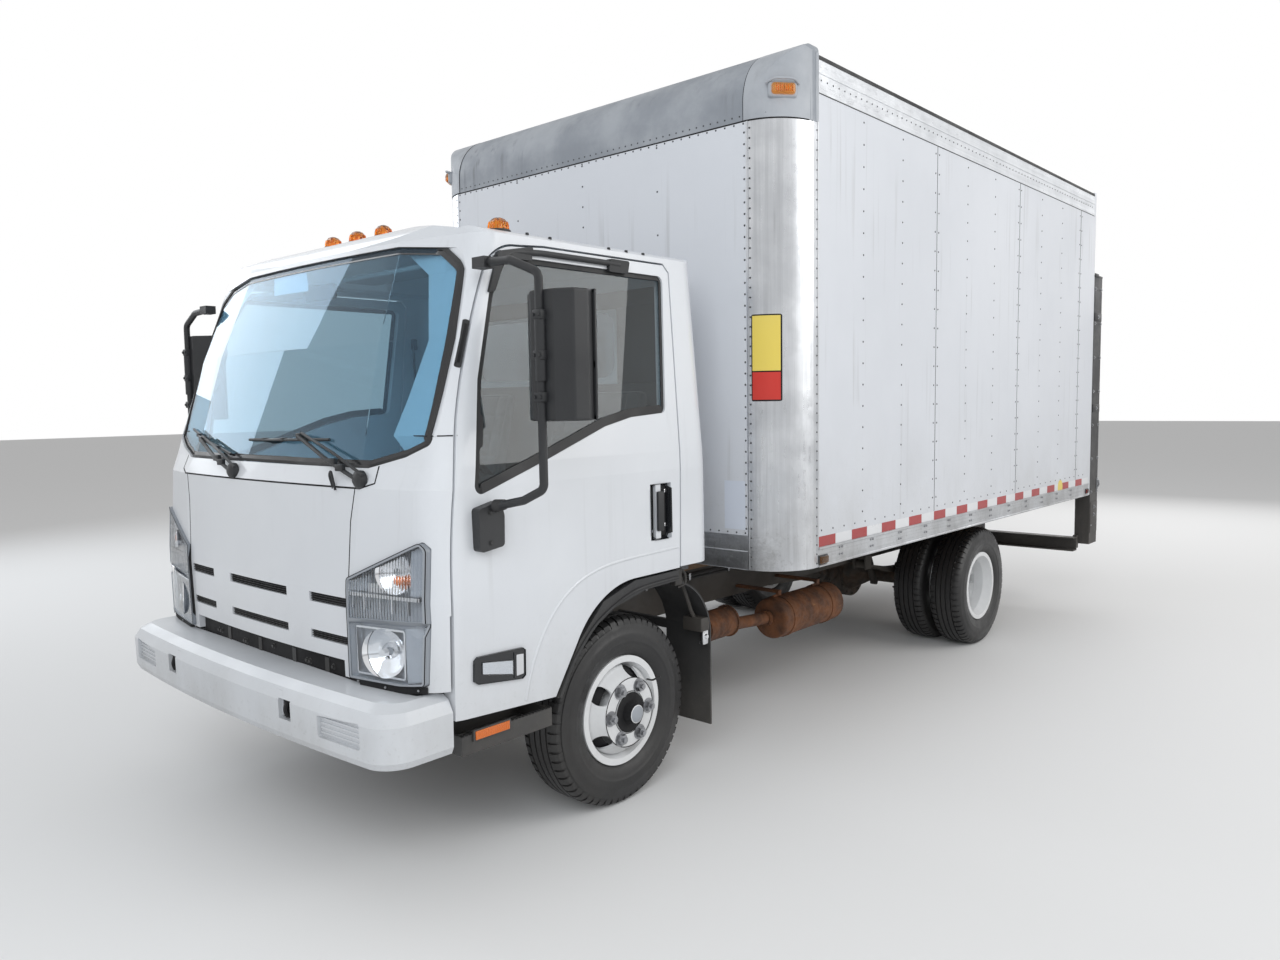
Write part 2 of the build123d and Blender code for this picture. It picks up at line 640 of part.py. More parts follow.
def make_arches():
    flare = side_shape(ARCH_OUTER + ARCH_INNER, (960, 1018))
    step = block((800, 985), (-855, -448), (459, 525))
    step = step - block((812, 972), (-845, -458), (470, 530))
    for i in range(6):
        y = -802 + 60 * i
        step = step - block((830, 954), (y - 17, y + 17), (458, 471))
    riser = block((800, 812), (-855, -448), (525, FOOTWELL_Z))
    save("wheel_arches", pair(flare) + pair(step + riser))


def make_flaps():
    """Front arch liners that fall behind the wheels and end in hanging flaps."""
    t = 8
    line = [Line((262, 880), (300, 868)), ThreePointArc((300, 868), (440, 776), (500, 640)),
            Line((500, 640), (500, 206)), Line((500, 206), (500 + t, 206)),
            Line((500 + t, 206), (500 + t, 640)),
            ThreePointArc((500 + t, 640), (446, 782), (303, 876)),
            Line((303, 876), (262, 888)), Line((262, 888), (262, 880))]
    liner = side_prism(Plane.YZ * make_face(line), (735, 985))
    stay = block((RAIL_OUT_X, 760), (500 + t, 530), (600, 640))
    save("mud_flaps", pair(liner + stay))


# Freight box
def box_form(inset, rise=0):
    """The box's outer form: quarter-round front corners and a round nose over them."""
    half, front, top = BOX_HALF - inset, BOX_FRONT + inset, BOX_TOP + rise - inset
    cx, cy = BOX_HALF - BOX_SEAM_X - inset, BOX_SEAM_Y - BOX_FRONT - inset
    corner = [(half - cx, front), (half - cx * 0.293, front + cy * 0.293), (half, front + cy)]
    plan = make_face([
        Line((-(half - cx), front), (half - cx, front)),
        ThreePointArc(*corner),
        Line(corner[2], (half, BOX_END)),
        Line((half, BOX_END), (-half, BOX_END)),
        Line((-half, BOX_END), (-half, front + cy)),
        ThreePointArc((-half, front + cy), (-corner[1][0], corner[1][1]), (-(half - cx), front)),
    ])
    r = BOX_NOSE_R - inset
    side = Plane.YZ * make_face([
        Line((front, BOX_BOTTOM), (front, top - r)),
        ThreePointArc((front, top - r), (front + r * 0.293, top - r * 0.293), (front + r, top)),
        Line((front + r, top), (BOX_END, top)),
        Line((BOX_END, top), (BOX_END, BOX_BOTTOM)),
        Line((BOX_END, BOX_BOTTOM), (front, BOX_BOTTOM)),
    ])
    e = 30
    end = Plane.XZ * make_face([
        Line((-half, BOX_BOTTOM), (half, BOX_BOTTOM)),
        Line((half, BOX_BOTTOM), (half, top - e)),
        ThreePointArc((half, top - e), (half - e * 0.293, top - e * 0.293), (half - e, top)),
        Line((half - e, top), (e - half, top)),
        ThreePointArc((e - half, top), (-half + e * 0.293, top - e * 0.293), (-half, top - e)),
        Line((-half, top - e), (-half, BOX_BOTTOM)),
    ])
    tall = extrude(Pos(0, 0, BOX_BOTTOM) * plan, amount=top - BOX_BOTTOM)
    wide = Pos(-BOX_HALF, 0, 0) * extrude(side, amount=2 * BOX_HALF, dir=(1, 0, 0))
    long = extrude(end, amount=BOX_END, dir=(0, 1, 0))
    return tall & wide & long


def make_box():
    wall = box_form(0) - box_form(BOX_WALL)
    big = 1400
    foot = BOX_BOTTOM - 1
    save("box_front_wall", wall & block((-BOX_SEAM_X, BOX_SEAM_X), (700, 850), (foot, BOX_CAP_Z)))
    post = wall & block((BOX_SEAM_X, big), (700, BOX_SEAM_Y), (foot, BOX_CAP_Z))
    save("corner_posts", pair(post))
    nose = box_form(0, NOSE_RISE) - box_form(BOX_WALL, NOSE_RISE)
    save("nose_cap", nose & block((-big, big), (700, BOX_SEAM_Y), (BOX_CAP_Z, 3300)))
    side = wall & block((1100, big), (BOX_SEAM_Y, BOX_END + 1), (BOX_DECK[0], BOX_RAIL_Z))
    save("side_walls", pair(side))
    inner = BOX_HALF - BOX_WALL
    top_rail = wall & block((inner, big), (BOX_SEAM_Y, BOX_END + 1), (BOX_RAIL_Z, 3300))
    # The bottom rail: a flat web between two lips
    lip, face = BOX_HALF + RAIL_LIP, BOX_HALF + RAIL_FACE
    low, high = BOX_BOTTOM, BOX_DECK[0]
    bottom_rail = front_shape([(inner, low), (lip, low), (lip, low + 7), (face, low + 10),
                               (face, high - 14), (lip, high - 10), (lip, high), (inner, high)],
                              (BOX_SEAM_Y, BOX_END))
    save("box_rails", pair(top_rail) + pair(bottom_rail))
    save("box_roof", wall & block((-inner, inner), (BOX_SEAM_Y, BOX_END + 1), (3000, 3300)))

    deck = block((-inner, inner), (BOX_SEAM_Y, BOX_END), BOX_DECK)
    deck = deck + block((-BOX_SEAM_X, BOX_SEAM_X), (BOX_FRONT + BOX_WALL, BOX_SEAM_Y), BOX_DECK)
    y = SILL_FIRST
    while y < BOX_END - 60:
        deck = deck + block((-inner, inner), (y - 25, y + 25), (BOX_BOTTOM, BOX_DECK[0]))
        y = y + SILL_PITCH
    deck = deck + pair(block((RAIL_OUT_X - 60, RAIL_OUT_X), (BOX_SEAM_Y, BOX_END),
                             (RAIL_Z[1], BOX_BOTTOM)))
    save("box_floor", deck)

    rear = BOX_END + REAR_FRAME_DEPTH
    frame = block((-BOX_HALF, BOX_HALF), (BOX_END, rear), (BOX_BOTTOM, BOX_TOP))
    frame = frame - block((-1135, 1135), (BOX_END - 1, rear + 1), (BOX_DECK[1], DOOR_TOP))
    save("rear_frame", frame)
    door = block((-1134, 1134), (BOX_END + 8, BOX_END + 30), (BOX_DECK[1], DOOR_TOP - 1))
    pitch = (DOOR_TOP - BOX_DECK[1]) / DOOR_PANELS
    for i in range(1, DOOR_PANELS):
        z = BOX_DECK[1] + i * pitch
        door = door - block((-1135, 1135), (BOX_END + 24, BOX_END + 31), (z - 4, z + 4))
    save("rollup_door", door)


# Rail lift
def make_lift():
    x0, x1 = COLUMN_X
    column = block(COLUMN_X, COLUMN_Y, COLUMN_Z)
    slot = block((x0 - 1, x0 + 60), (COLUMN_Y[0] + 30, COLUMN_Y[1] - 30),
                 (COLUMN_Z[0] - 1, COLUMN_Z[1] - 12))
    columns = pair(column - slot)
    guard = block((-1150, 1150), (4905, 4990), (424, 531)) - block(
        (-1151, 1151), (4904, 4980), (434, 521))
    hangers = pair(block((RAIL_OUT_X - 60, RAIL_OUT_X), (4940, 4990), (531, 755)))
    ties = pair(block((1060, 1150), (4980, 5026), (440, 520)) + block((1120, 1150), (4990, 5030),
                                                                      (473, 540)))
    save("lift_columns", columns + guard + hangers + ties)

    shoe = block((x0 + 8, x0 + 52), (COLUMN_Y[0] + 38, COLUMN_Y[1] - 38), (800, 1300))
    beam = block((-x0 + 12, x0 - 12), (5050, 5085), (880, 960))
    beam = beam + on_fold(PIN_R, (-x0 + 12, x0 - 12))
    for x, width, radius in ((340, 30, 18), (x0 - 2, 20, 24)):
        span = (x - width / 2, x + width / 2)
        lug = block(span, (5064, FOLD_Y), (FOLD_Z - radius, FOLD_Z + 15)) + on_fold(radius, span)
        beam = beam + pair(lug)
    arms = block((x0 - 12, x0 + 8), (5064, FOLD_Y), (860, 960))
    save("lift_carriage", beam + pair(shoe + arms))


def on_fold(radius, x):
    """A round piece about the axis that the platform folds on."""
    return Pos((x[0] + x[1]) / 2, FOLD_Y, FOLD_Z) * Rot(0, 90, 0) * Cylinder(radius, x[1] - x[0])


def make_platform():
    """Stowed upright: a flat deck towards the box, ribs on its back, a ramp at its tip."""
    near, far = PLATFORM_Y, PLATFORM_Y + PLATFORM_T
    foot, tip = PLATFORM_Z
    deck = side_shape([(near, foot), (far, foot), (far, RAMP_Z), (near + 12, tip), (near, tip)],
                      (-1080, 1080))
    for x in range(-1050, 1050, 350):
        for z0, z1 in ((1010, 1240), (1270, 1500), (1530, 1740)):
            deck = deck - block((x + 15, x + 335), (near + PLATFORM_SKIN, far + 1), (z0, z1))
    for x in (200, 480, 1010):
        span = (x - 40, x + 40)
        knuckle = block(span, (near, far), (FOLD_Z, foot + 4)) + on_fold(PLATFORM_T / 2, span)
        deck = deck + pair(knuckle - on_fold(PIN_R + 0.6, (x - 41, x + 41)))
    save("lift_platform", deck)


# Lamps
def make_lamps():
    """Amber lamps on the cab roof and box corners, side markers, red tail lamps."""
    base = (Align.CENTER, Align.CENTER, Align.MIN)
    roof = None
    for x in (-187, 0, 187):
        lamp = Pos(x, -556, 2270) * Cone(38, 26, 62, align=base)
        roof = lamp if roof is None else roof + lamp
    roof = roof + pair(Pos(850, -525, 2225) * Cylinder(42, 52, align=base))
    corner = pair(Pos(1163, 827, 2962) * Rot(0, 0, 50.4) * Box(130, 60, 75))
    side = pair(block((BOX_HALF + RAIL_FACE, BOX_HALF + 22), (1008, 1076), (873, 915)))
    rear = BOX_END + REAR_FRAME_DEPTH
    tail = pair(block((900, 1040), (rear, rear + 14), (888, 948)))
    top = block((-30, 30), (rear, rear + 14), (3000, 3030))
    for x in (-200, 200):
        top = top + block((x - 30, x + 30), (rear, rear + 14), (3000, 3030))
    save("marker_lamps", (roof - roof_form(0)) + (corner - box_form(0)) + side + tail + top)


make_cab()
make_cab_floor()
make_roof()
make_bumper()
make_inside()
make_doors()
make_wheels()
make_front_axle()
make_knuckles()
make_springs()
make_rear_axle()
make_frame()
make_engine()
make_exhaust()
make_tanks()
make_arches()
make_flaps()
make_box()
make_lift()
make_platform()
make_lamps()
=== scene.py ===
# The looks of a cab-over box truck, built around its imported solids.
# Metres in the solids' frame: +Z is up, the truck faces -Y and its driver's side is +X.
# A place on the truck is given to at() as a draughtsman would: millimetres across, behind the
# front axle and above the ground.
import json
import math
from itertools import product

import bmesh
import bpy
from mathutils import Matrix, Vector
from mathutils.bvhtree import BVHTree


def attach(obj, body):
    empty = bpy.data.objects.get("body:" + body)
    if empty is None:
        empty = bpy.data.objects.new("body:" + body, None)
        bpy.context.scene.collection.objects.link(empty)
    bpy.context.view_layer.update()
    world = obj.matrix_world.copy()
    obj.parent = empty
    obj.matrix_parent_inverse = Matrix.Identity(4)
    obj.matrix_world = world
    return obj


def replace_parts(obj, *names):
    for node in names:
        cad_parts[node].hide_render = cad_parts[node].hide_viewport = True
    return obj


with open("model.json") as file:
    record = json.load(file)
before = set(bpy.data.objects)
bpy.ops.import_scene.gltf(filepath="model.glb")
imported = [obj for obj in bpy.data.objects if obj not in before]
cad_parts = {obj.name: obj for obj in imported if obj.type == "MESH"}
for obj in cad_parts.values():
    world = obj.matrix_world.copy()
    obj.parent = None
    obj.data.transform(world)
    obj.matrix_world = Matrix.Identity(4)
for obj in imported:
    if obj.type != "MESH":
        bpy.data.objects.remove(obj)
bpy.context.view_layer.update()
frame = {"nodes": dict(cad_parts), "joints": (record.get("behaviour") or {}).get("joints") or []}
nodes = frame["nodes"]
scene = bpy.context.scene

FRONT_AXLE_Y = next(j["pos_m"][1] for j in frame["joints"] if j["name"] == "spin_front_left")
MM = 0.001
X, Y, Z = Vector((1, 0, 0)), Vector((0, 1, 0)), Vector((0, 0, 1))


def at(x, station, z):
    return Vector((x * MM, FRONT_AXLE_Y + station * MM, z * MM))


# Shader building
def feed(tree, node, inputs):
    """Sets a node's inputs, each to a value or to another node's output."""
    for key, value in inputs.items():
        if isinstance(value, bpy.types.NodeSocket):
            tree.links.new(value, node.inputs[key])
        else:
            node.inputs[key].default_value = value


def add(tree, kind, inputs, **settings):
    """A shader node with its settings and inputs."""
    made = tree.nodes.new(kind)
    for key, value in settings.items():
        setattr(made, key, value)
    feed(tree, made, inputs)
    return made


def object_place(tree):
    return add(tree, "ShaderNodeTexCoord", {}).outputs["Object"]


def start_group(name, takes):
    """A node group that takes some numbers and gives a mask."""
    tree = bpy.data.node_groups.new(name, "ShaderNodeTree")
    for label, value in takes:
        socket = tree.interface.new_socket(label, in_out="INPUT", socket_type="NodeSocketFloat")
        socket.default_value = value
    tree.interface.new_socket("Mask", in_out="OUTPUT", socket_type="NodeSocketFloat")
    return tree, tree.nodes.new("NodeGroupInput").outputs, object_place(tree)


def end_group(tree, value):
    add(tree, "NodeGroupOutput", {"Mask": value})
    return tree


def noise(tree, here, scale, stretch=(1, 1, 1), detail=4, roughness=0.55, distortion=0.0):
    mapped = add(tree, "ShaderNodeMapping", {"Vector": here, "Scale": stretch})
    return add(tree, "ShaderNodeTexNoise", {
        "Vector": mapped.outputs[0], "Scale": scale, "Detail": detail, "Roughness": roughness,
        "Distortion": distortion}).outputs["Fac"]


def ramp(tree, value, low, high, to_low=0.0, to_high=1.0):
    return add(tree, "ShaderNodeMapRange", {
        "Value": value, "From Min": low, "From Max": high, "To Min": to_low, "To Max": to_high},
        interpolation_type="SMOOTHSTEP").outputs[0]


def calc(tree, operation, a, b):
    return add(tree, "ShaderNodeMath", {0: a, 1: b}, operation=operation).outputs[0]


def plus(tree, a, b):
    return calc(tree, "ADD", a, b)


def times(tree, a, b):
    return calc(tree, "MULTIPLY", a, b)


def make_grime_group():
    """Road dirt, thick at the bottom height and gone at the top one, broken up by noise."""
    tree, takes, here = start_group("road_grime", [("Bottom", 0.3), ("Top", 1.6), ("Amount", 0.6)])
    height = add(tree, "ShaderNodeSeparateXYZ", {0: here}).outputs["Z"]
    fall = ramp(tree, height, takes["Bottom"], takes["Top"], 1.0, 0.0)
    cloud = ramp(tree, noise(tree, here, 2.3, (1, 1, 0.6), 7, 0.62), 0.32, 0.72)
    specks = ramp(tree, noise(tree, here, 70, detail=2), 0.58, 0.72)
    near = times(tree, fall, plus(tree, times(tree, cloud, 0.8), 0.2))
    dirt = plus(tree, near, times(tree, specks, times(tree, fall, 0.3)))
    return end_group(tree, times(tree, dirt, takes["Amount"]))


def make_streak_group():
    """Thin runs of dirty water down the upright faces."""
    tree, takes, here = start_group("rain_streaks", [("Width", 26.0), ("Amount", 0.4)])
    lines = ramp(tree, noise(tree, here, takes["Width"], (1, 1, 0.035), 3, 0.5), 0.56, 0.74)
    patchy = ramp(tree, noise(tree, here, 1.7, detail=3), 0.42, 0.62)
    return end_group(tree, times(tree, times(tree, lines, patchy), takes["Amount"]))


def make_patch_group():
    """Large soft stains and uneven fading."""
    tree, takes, here = start_group("uneven_tone", [("Size", 1.5), ("Amount", 0.5)])
    big = noise(tree, here, takes["Size"], detail=8, roughness=0.6)
    return end_group(tree, times(tree, ramp(tree, big, 0.36, 0.66), takes["Amount"]))


def make_brush_group(name, stretch):
    """Fine parallel grain with longer scratches, along the axis with the small stretch."""
    tree, takes, here = start_group(name, [("Fineness", 60.0)])
    return end_group(tree, noise(tree, here, takes["Fineness"], stretch, 5, 0.7))


def make_chip_group():
    """Small sharp-edged spots where paint or galvanising has gone."""
    tree, takes, here = start_group("chips", [("Size", 9.0), ("Amount", 0.35)])
    blobs = noise(tree, here, takes["Size"], detail=9, roughness=0.68)
    edge = calc(tree, "SUBTRACT", 0.80, times(tree, takes["Amount"], 0.32))
    return end_group(tree, ramp(tree, blobs, edge, plus(tree, edge, 0.02)))


def make_dent_group():
    """Shallow dents and waves in sheet metal."""
    tree, takes, here = start_group("dents", [("Size", 3.0), ("Depth", 0.5)])
    waves = noise(tree, here, takes["Size"], detail=2, roughness=0.4, distortion=0.3)
    return end_group(tree, times(tree, waves, takes["Depth"]))


GRIME, STREAKS, TONE = make_grime_group(), make_streak_group(), make_patch_group()
CHIPS, DENTS = make_chip_group(), make_dent_group()
BRUSH_UP = make_brush_group("brushed_upright", (1, 1, 0.02))
BRUSH_LONG = make_brush_group("brushed_lengthwise", (1, 0.02, 1))
BRUSH_ACROSS = make_brush_group("brushed_across", (0.02, 1, 1))
GRAIN = make_brush_group("fine_grain", (1, 1, 1))


def use(tree, group, **values):
    return add(tree, "ShaderNodeGroup", values, node_tree=group).outputs[0]


def start_material(name):
    """A material, its nodes and its main shader."""
    material = bpy.data.materials.new(name)
    material.use_nodes = True
    tree = material.node_tree
    return material, tree, tree.nodes["Principled BSDF"]


def mix(tree, mask, first, second):
    """Two colours mixed by a mask, each an (r, g, b) or another node's output."""
    first, second = ((*c, 1) if isinstance(c, tuple) else c for c in (first, second))
    return add(tree, "ShaderNodeMix", {0: mask, 6: first, 7: second}, data_type="RGBA").outputs[2]


def bumped(tree, height, strength, distance=0.004):
    return add(tree, "ShaderNodeBump", {"Height": height, "Strength": strength,
                                        "Distance": distance}).outputs[0]


def finish_of(name, colour, roughness, metallic=0.0, faded=None, tone=(1.5, 0.5), grime=None,
              dirt=(0.16, 0.145, 0.125), streaks=0.0, streak_colour=(0.20, 0.19, 0.17),
              chips=None, chip_colour=(0.05, 0.03, 0.02), brush=None, dents=None,
              grain=(300.0, 0.05), coat=0.0):
    """A layered finish: uneven tone, brushing, streaks, chips, then road dirt over all."""
    material, tree, shader = start_material(name)
    faded = faded or tuple(c * 0.86 for c in colour)
    colour_now = mix(tree, use(tree, TONE, Size=tone[0], Amount=tone[1]), colour, faded)
    rough = ramp(tree, use(tree, TONE, Size=tone[0] * 3.1, Amount=1.0), 0.0, 1.0,
                 roughness * 0.88, min(1.0, roughness * 1.15))
    height = times(tree, use(tree, GRAIN, Fineness=grain[0]), grain[1])
    if brush:
        lines = use(tree, brush[0], Fineness=brush[1])
        colour_now = mix(tree, ramp(tree, lines, 0.35, 0.7, 0.0, brush[2]), colour_now,
                         tuple(c * 0.55 for c in colour))
        rough = plus(tree, rough, ramp(tree, lines, 0.3, 0.7, -0.08, 0.1))
        height = plus(tree, height, times(tree, lines, 0.12))
    if streaks:
        runs = use(tree, STREAKS, Amount=streaks)
        colour_now = mix(tree, runs, colour_now, streak_colour)
        rough = plus(tree, rough, times(tree, runs, 0.25))
    if chips:
        gone = use(tree, CHIPS, Size=chips[0], Amount=chips[1])
        colour_now = mix(tree, gone, colour_now, chip_colour)
        rough = plus(tree, rough, times(tree, gone, 0.3))
        height = calc(tree, "SUBTRACT", height, times(tree, gone, 0.3))
    if grime:
        dirty = use(tree, GRIME, Bottom=grime[0], Top=grime[1], Amount=grime[2])
        colour_now = mix(tree, dirty, colour_now, dirt)
        rough = plus(tree, rough, times(tree, dirty, 0.35))
    if dents:
        height = plus(tree, height, use(tree, DENTS, Size=dents[0], Depth=dents[1]))
    feed(tree, shader, {"Base Color": colour_now, "Roughness": rough, "Metallic": metallic,
                        "Normal": bumped(tree, height, 0.5), "Coat Weight": coat,
                        "Coat Roughness": 0.08})
    return material


def glass_of(name, colour, reflection=(1, 1, 1, 1), roughness=0.0, ior=1.5, level=0.5,
             ribs=None):
    """Clear or tinted glass that lets shadow rays through, ribbed where a lens is."""
    material, tree, shader = start_material(name)
    feed(tree, shader, {"Base Color": (*colour, 1), "Transmission Weight": 1.0,
                        "Roughness": roughness, "IOR": ior, "Specular Tint": reflection,
                        "Specular IOR Level": level})
    if ribs:
        mapped = add(tree, "ShaderNodeMapping", {"Vector": object_place(tree), "Scale": ribs[0]})
        wave = add(tree, "ShaderNodeTexWave", {"Vector": mapped.outputs[0], "Scale": ribs[1]},
                   wave_type="BANDS", bands_direction="X").outputs["Fac"]
        feed(tree, shader, {"Normal": bumped(tree, wave, ribs[2])})
    clear = add(tree, "ShaderNodeBsdfTransparent", {"Color": (*(0.5 + c / 2 for c in colour), 1)})
    rays = add(tree, "ShaderNodeLightPath", {})
    both = add(tree, "ShaderNodeMixShader", {0: rays.outputs["Is Shadow Ray"],
                                             1: shader.outputs[0], 2: clear.outputs[0]})
    tree.links.new(both.outputs[0], tree.nodes["Material Output"].inputs[0])
    return material


WHITE_PAINT = (0.66, 0.68, 0.71)
paint = finish_of(
    "cab_white_paint", WHITE_PAINT, 0.34, faded=(0.58, 0.60, 0.635), tone=(0.9, 0.55),
    grime=(0.35, 1.15, 0.42), dirt=(0.33, 0.32, 0.30), streaks=0.10, dents=(1.6, 0.25),
    grain=(900.0, 0.02), coat=0.5)
bumper_paint = finish_of(
    "bumper_white_paint", (0.60, 0.62, 0.65), 0.42, faded=(0.50, 0.52, 0.55),
    grime=(0.42, 0.80, 0.5), dirt=(0.24, 0.23, 0.21), chips=(22.0, 0.22),
    chip_colour=(0.10, 0.10, 0.10), coat=0.3)
wheel_paint = finish_of(
    "wheel_white_paint", (0.72, 0.73, 0.74), 0.38, faded=(0.62, 0.63, 0.64), tone=(6.0, 0.5),
    grime=(0.1, 0.9, 0.20), dirt=(0.28, 0.25, 0.22), chips=(30.0, 0.18), coat=0.2)
box_paint = finish_of(
    "box_white_panels", (0.64, 0.66, 0.70), 0.46, faded=(0.56, 0.58, 0.62), tone=(0.5, 0.6),
    grime=(0.9, 1.7, 0.35), dirt=(0.36, 0.355, 0.34), streaks=0.22, dents=(2.4, 0.5),
    grain=(500.0, 0.04))
post_metal = finish_of(
    "bare_upright_aluminium", (0.76, 0.78, 0.81), 0.34, 1.0, faded=(0.56, 0.58, 0.61),
    tone=(4.0, 0.6), brush=(BRUSH_UP, 45.0, 0.35), streaks=0.30, streak_colour=(0.12, 0.12, 0.12),
    dents=(9.0, 1.2), grime=(0.85, 1.3, 0.5))
rail_metal = finish_of(
    "bare_lengthwise_aluminium", (0.74, 0.76, 0.79), 0.38, 1.0, faded=(0.56, 0.58, 0.61),
    tone=(5.0, 0.5), brush=(BRUSH_LONG, 60.0, 0.3), streaks=0.15, dents=(8.0, 0.8),
    grime=(0.85, 1.2, 0.6))
roof_metal = finish_of(
    "roof_sheet", (0.50, 0.51, 0.53), 0.45, 1.0, faded=(0.34, 0.35, 0.36), tone=(1.2, 0.8),
    streaks=0.2, dents=(2.0, 0.8))
cap_paint = finish_of(
    "weathered_grey_cap", (0.34, 0.36, 0.39), 0.55, faded=(0.22, 0.24, 0.27), tone=(3.0, 0.8),
    streaks=0.5, streak_colour=(0.12, 0.12, 0.13), chips=(14.0, 0.18),
    chip_colour=(0.55, 0.56, 0.58), dents=(5.0, 0.8))
black_plastic = finish_of(
    "black_trim_plastic", (0.018, 0.019, 0.021), 0.48, faded=(0.035, 0.036, 0.038),
    grime=(0.3, 1.2, 0.35), grain=(700.0, 0.12))
black_gloss = finish_of(
    "black_gloss_trim", (0.010, 0.011, 0.013), 0.22, faded=(0.02, 0.021, 0.024),
    grain=(700.0, 0.02), coat=0.3)
# Near black for dark joints and gaps, and for sheets of painted shade in wells, slots, openings and
# behind the wheel holes
gap_and_shade_black = finish_of("dark_gaps_and_painted_shade", (0.008, 0.008, 0.009), 0.8)
rubber = finish_of(
    "weathered_rubber", (0.022, 0.022, 0.023), 0.62, faded=(0.045, 0.045, 0.045),
    grime=(0.2, 0.7, 0.4), grain=(400.0, 0.15))
tyre_rubber = finish_of(
    "tyre_rubber", (0.014, 0.014, 0.015), 0.42, faded=(0.024, 0.024, 0.024), tone=(5.0, 0.6),
    grime=(0.0, 0.9, 0.16), dirt=(0.09, 0.08, 0.07), grain=(500.0, 0.1))
chassis_paint = finish_of(
    "chassis_black", (0.028, 0.027, 0.026), 0.60, faded=(0.05, 0.045, 0.04), grime=(0.2, 1.1, 0.6),
    dirt=(0.12, 0.10, 0.08), chips=(16.0, 0.35), chip_colour=(0.13, 0.055, 0.025),
    grain=(250.0, 0.25))
lift_paint = finish_of(
    "lift_black", (0.020, 0.020, 0.022), 0.50, faded=(0.04, 0.04, 0.042), grime=(0.4, 1.4, 0.4),
    chips=(12.0, 0.32), chip_colour=(0.16, 0.09, 0.06), streaks=0.2, grain=(250.0, 0.2))
cast_iron = finish_of(
    "cast_iron", (0.09, 0.085, 0.08), 0.70, 0.6, faded=(0.14, 0.085, 0.055), tone=(9.0, 0.8),
    grime=(0.1, 0.9, 0.6), grain=(180.0, 0.5))
rusty_steel = finish_of(
    "rusty_steel", (0.20, 0.085, 0.04), 0.82, 0.3, faded=(0.09, 0.05, 0.035), tone=(12.0, 0.9),
    chips=(20.0, 0.5), chip_colour=(0.30, 0.15, 0.07), grain=(220.0, 0.6))
zinc = finish_of(
    "zinc_fasteners", (0.42, 0.43, 0.45), 0.38, 1.0, faded=(0.24, 0.24, 0.25), tone=(30.0, 0.7))
chrome = finish_of(
    "reflector_chrome", (0.80, 0.81, 0.83), 0.10, 1.0, faded=(0.72, 0.73, 0.76),
    grain=(300.0, 0.01))
lamp_grey = finish_of("lamp_housing_grey", (0.30, 0.32, 0.35), 0.40, faded=(0.24, 0.26, 0.29))
lamp_pale = finish_of("lamp_inner_grey", (0.26, 0.28, 0.31), 0.35, faded=(0.20, 0.22, 0.25))
corner_paint = finish_of(
    "cap_corner_grey", (0.40, 0.42, 0.45), 0.5, faded=(0.30, 0.32, 0.35), tone=(4.0, 0.7),
    streaks=0.4, streak_colour=(0.16, 0.16, 0.17), dents=(7.0, 0.6))
rivet_dark = finish_of("dark_rivets", (0.10, 0.105, 0.11), 0.5, 0.8)
interior = finish_of(
    "cab_inside_grey", (0.10, 0.10, 0.105), 0.65, faded=(0.07, 0.07, 0.075), grain=(260.0, 0.3))
headliner = finish_of("headliner", (0.30, 0.30, 0.29), 0.9, grain=(500.0, 0.4))
paper = finish_of("blank_paper", (0.62, 0.66, 0.74), 0.7, grain=(300.0, 0.02))
deck_wood = finish_of(
    "deck_wood", (0.20, 0.12, 0.065), 0.7, faded=(0.12, 0.08, 0.05),
    brush=(BRUSH_ACROSS, 30.0, 0.6), tone=(2.0, 0.6))
yellow_sheet = finish_of(
    "yellow_sign_sheet", (0.72, 0.56, 0.10), 0.35, faded=(0.64, 0.52, 0.14), coat=0.2)
red_sheet = finish_of("red_sign_sheet", (0.55, 0.03, 0.02), 0.35, coat=0.2)
tape_red = finish_of("red_tape", (0.36, 0.012, 0.015), 0.40, grime=(0.8, 1.1, 0.3), coat=0.4)
tape_white = finish_of("white_tape", (0.72, 0.73, 0.75), 0.30, grime=(0.8, 1.1, 0.3), coat=0.4)
# The windscreen's blue tint and its blue-tinted reflections are a painted sky reflection
screen_glass = glass_of(
    "windscreen_glass_painted_sky", (0.40, 0.60, 0.72), (0.40, 0.68, 1.0, 1), level=0.9, ior=1.55)
side_glass = glass_of("side_glass", (0.40, 0.45, 0.47))
clear_lens = glass_of(
    "clear_lens", (0.93, 0.95, 0.97), roughness=0.03, ribs=((1, 0, 0), 24.0, 0.4))
smooth_lens = glass_of("smooth_lens", (0.94, 0.96, 0.98), roughness=0.02)
amber_lens = glass_of(
    "amber_lens", (0.95, 0.34, 0.03), roughness=0.06, ribs=((1, 1, 0.0), 60.0, 0.4))
red_lens = glass_of(
    "red_lens", (0.75, 0.02, 0.02), roughness=0.08, ribs=((1, 0, 0), 60.0, 0.4))
# Amber darker than its own colour: painted shade, for the step's reflector that lies in shadow
amber_shade_darkened = finish_of("amber_reflector_painted_shade", (0.62, 0.14, 0.012), 0.25, coat=0.6)


def make_cloth():
    """Woven seat cloth with a soft sheen."""
    material, tree, shader = start_material("seat_cloth")
    inputs = {"Vector": object_place(tree), "Scale": 160.0, "Distortion": 0.6}
    weave = calc(tree, "MAXIMUM", *(
        add(tree, "ShaderNodeTexWave", inputs, bands_direction=way).outputs["Fac"]
        for way in ("X", "Z")))
    colour = mix(tree, weave, (0.035, 0.037, 0.042), (0.085, 0.088, 0.095))
    colour = mix(tree, use(tree, TONE, Size=5.0, Amount=0.4), colour, (0.11, 0.11, 0.11))
    feed(tree, shader, {"Base Color": colour, "Normal": bumped(tree, weave, 0.4, 0.001),
                        "Roughness": 0.92, "Sheen Weight": 0.35})
    return material


seat_cloth = make_cloth()

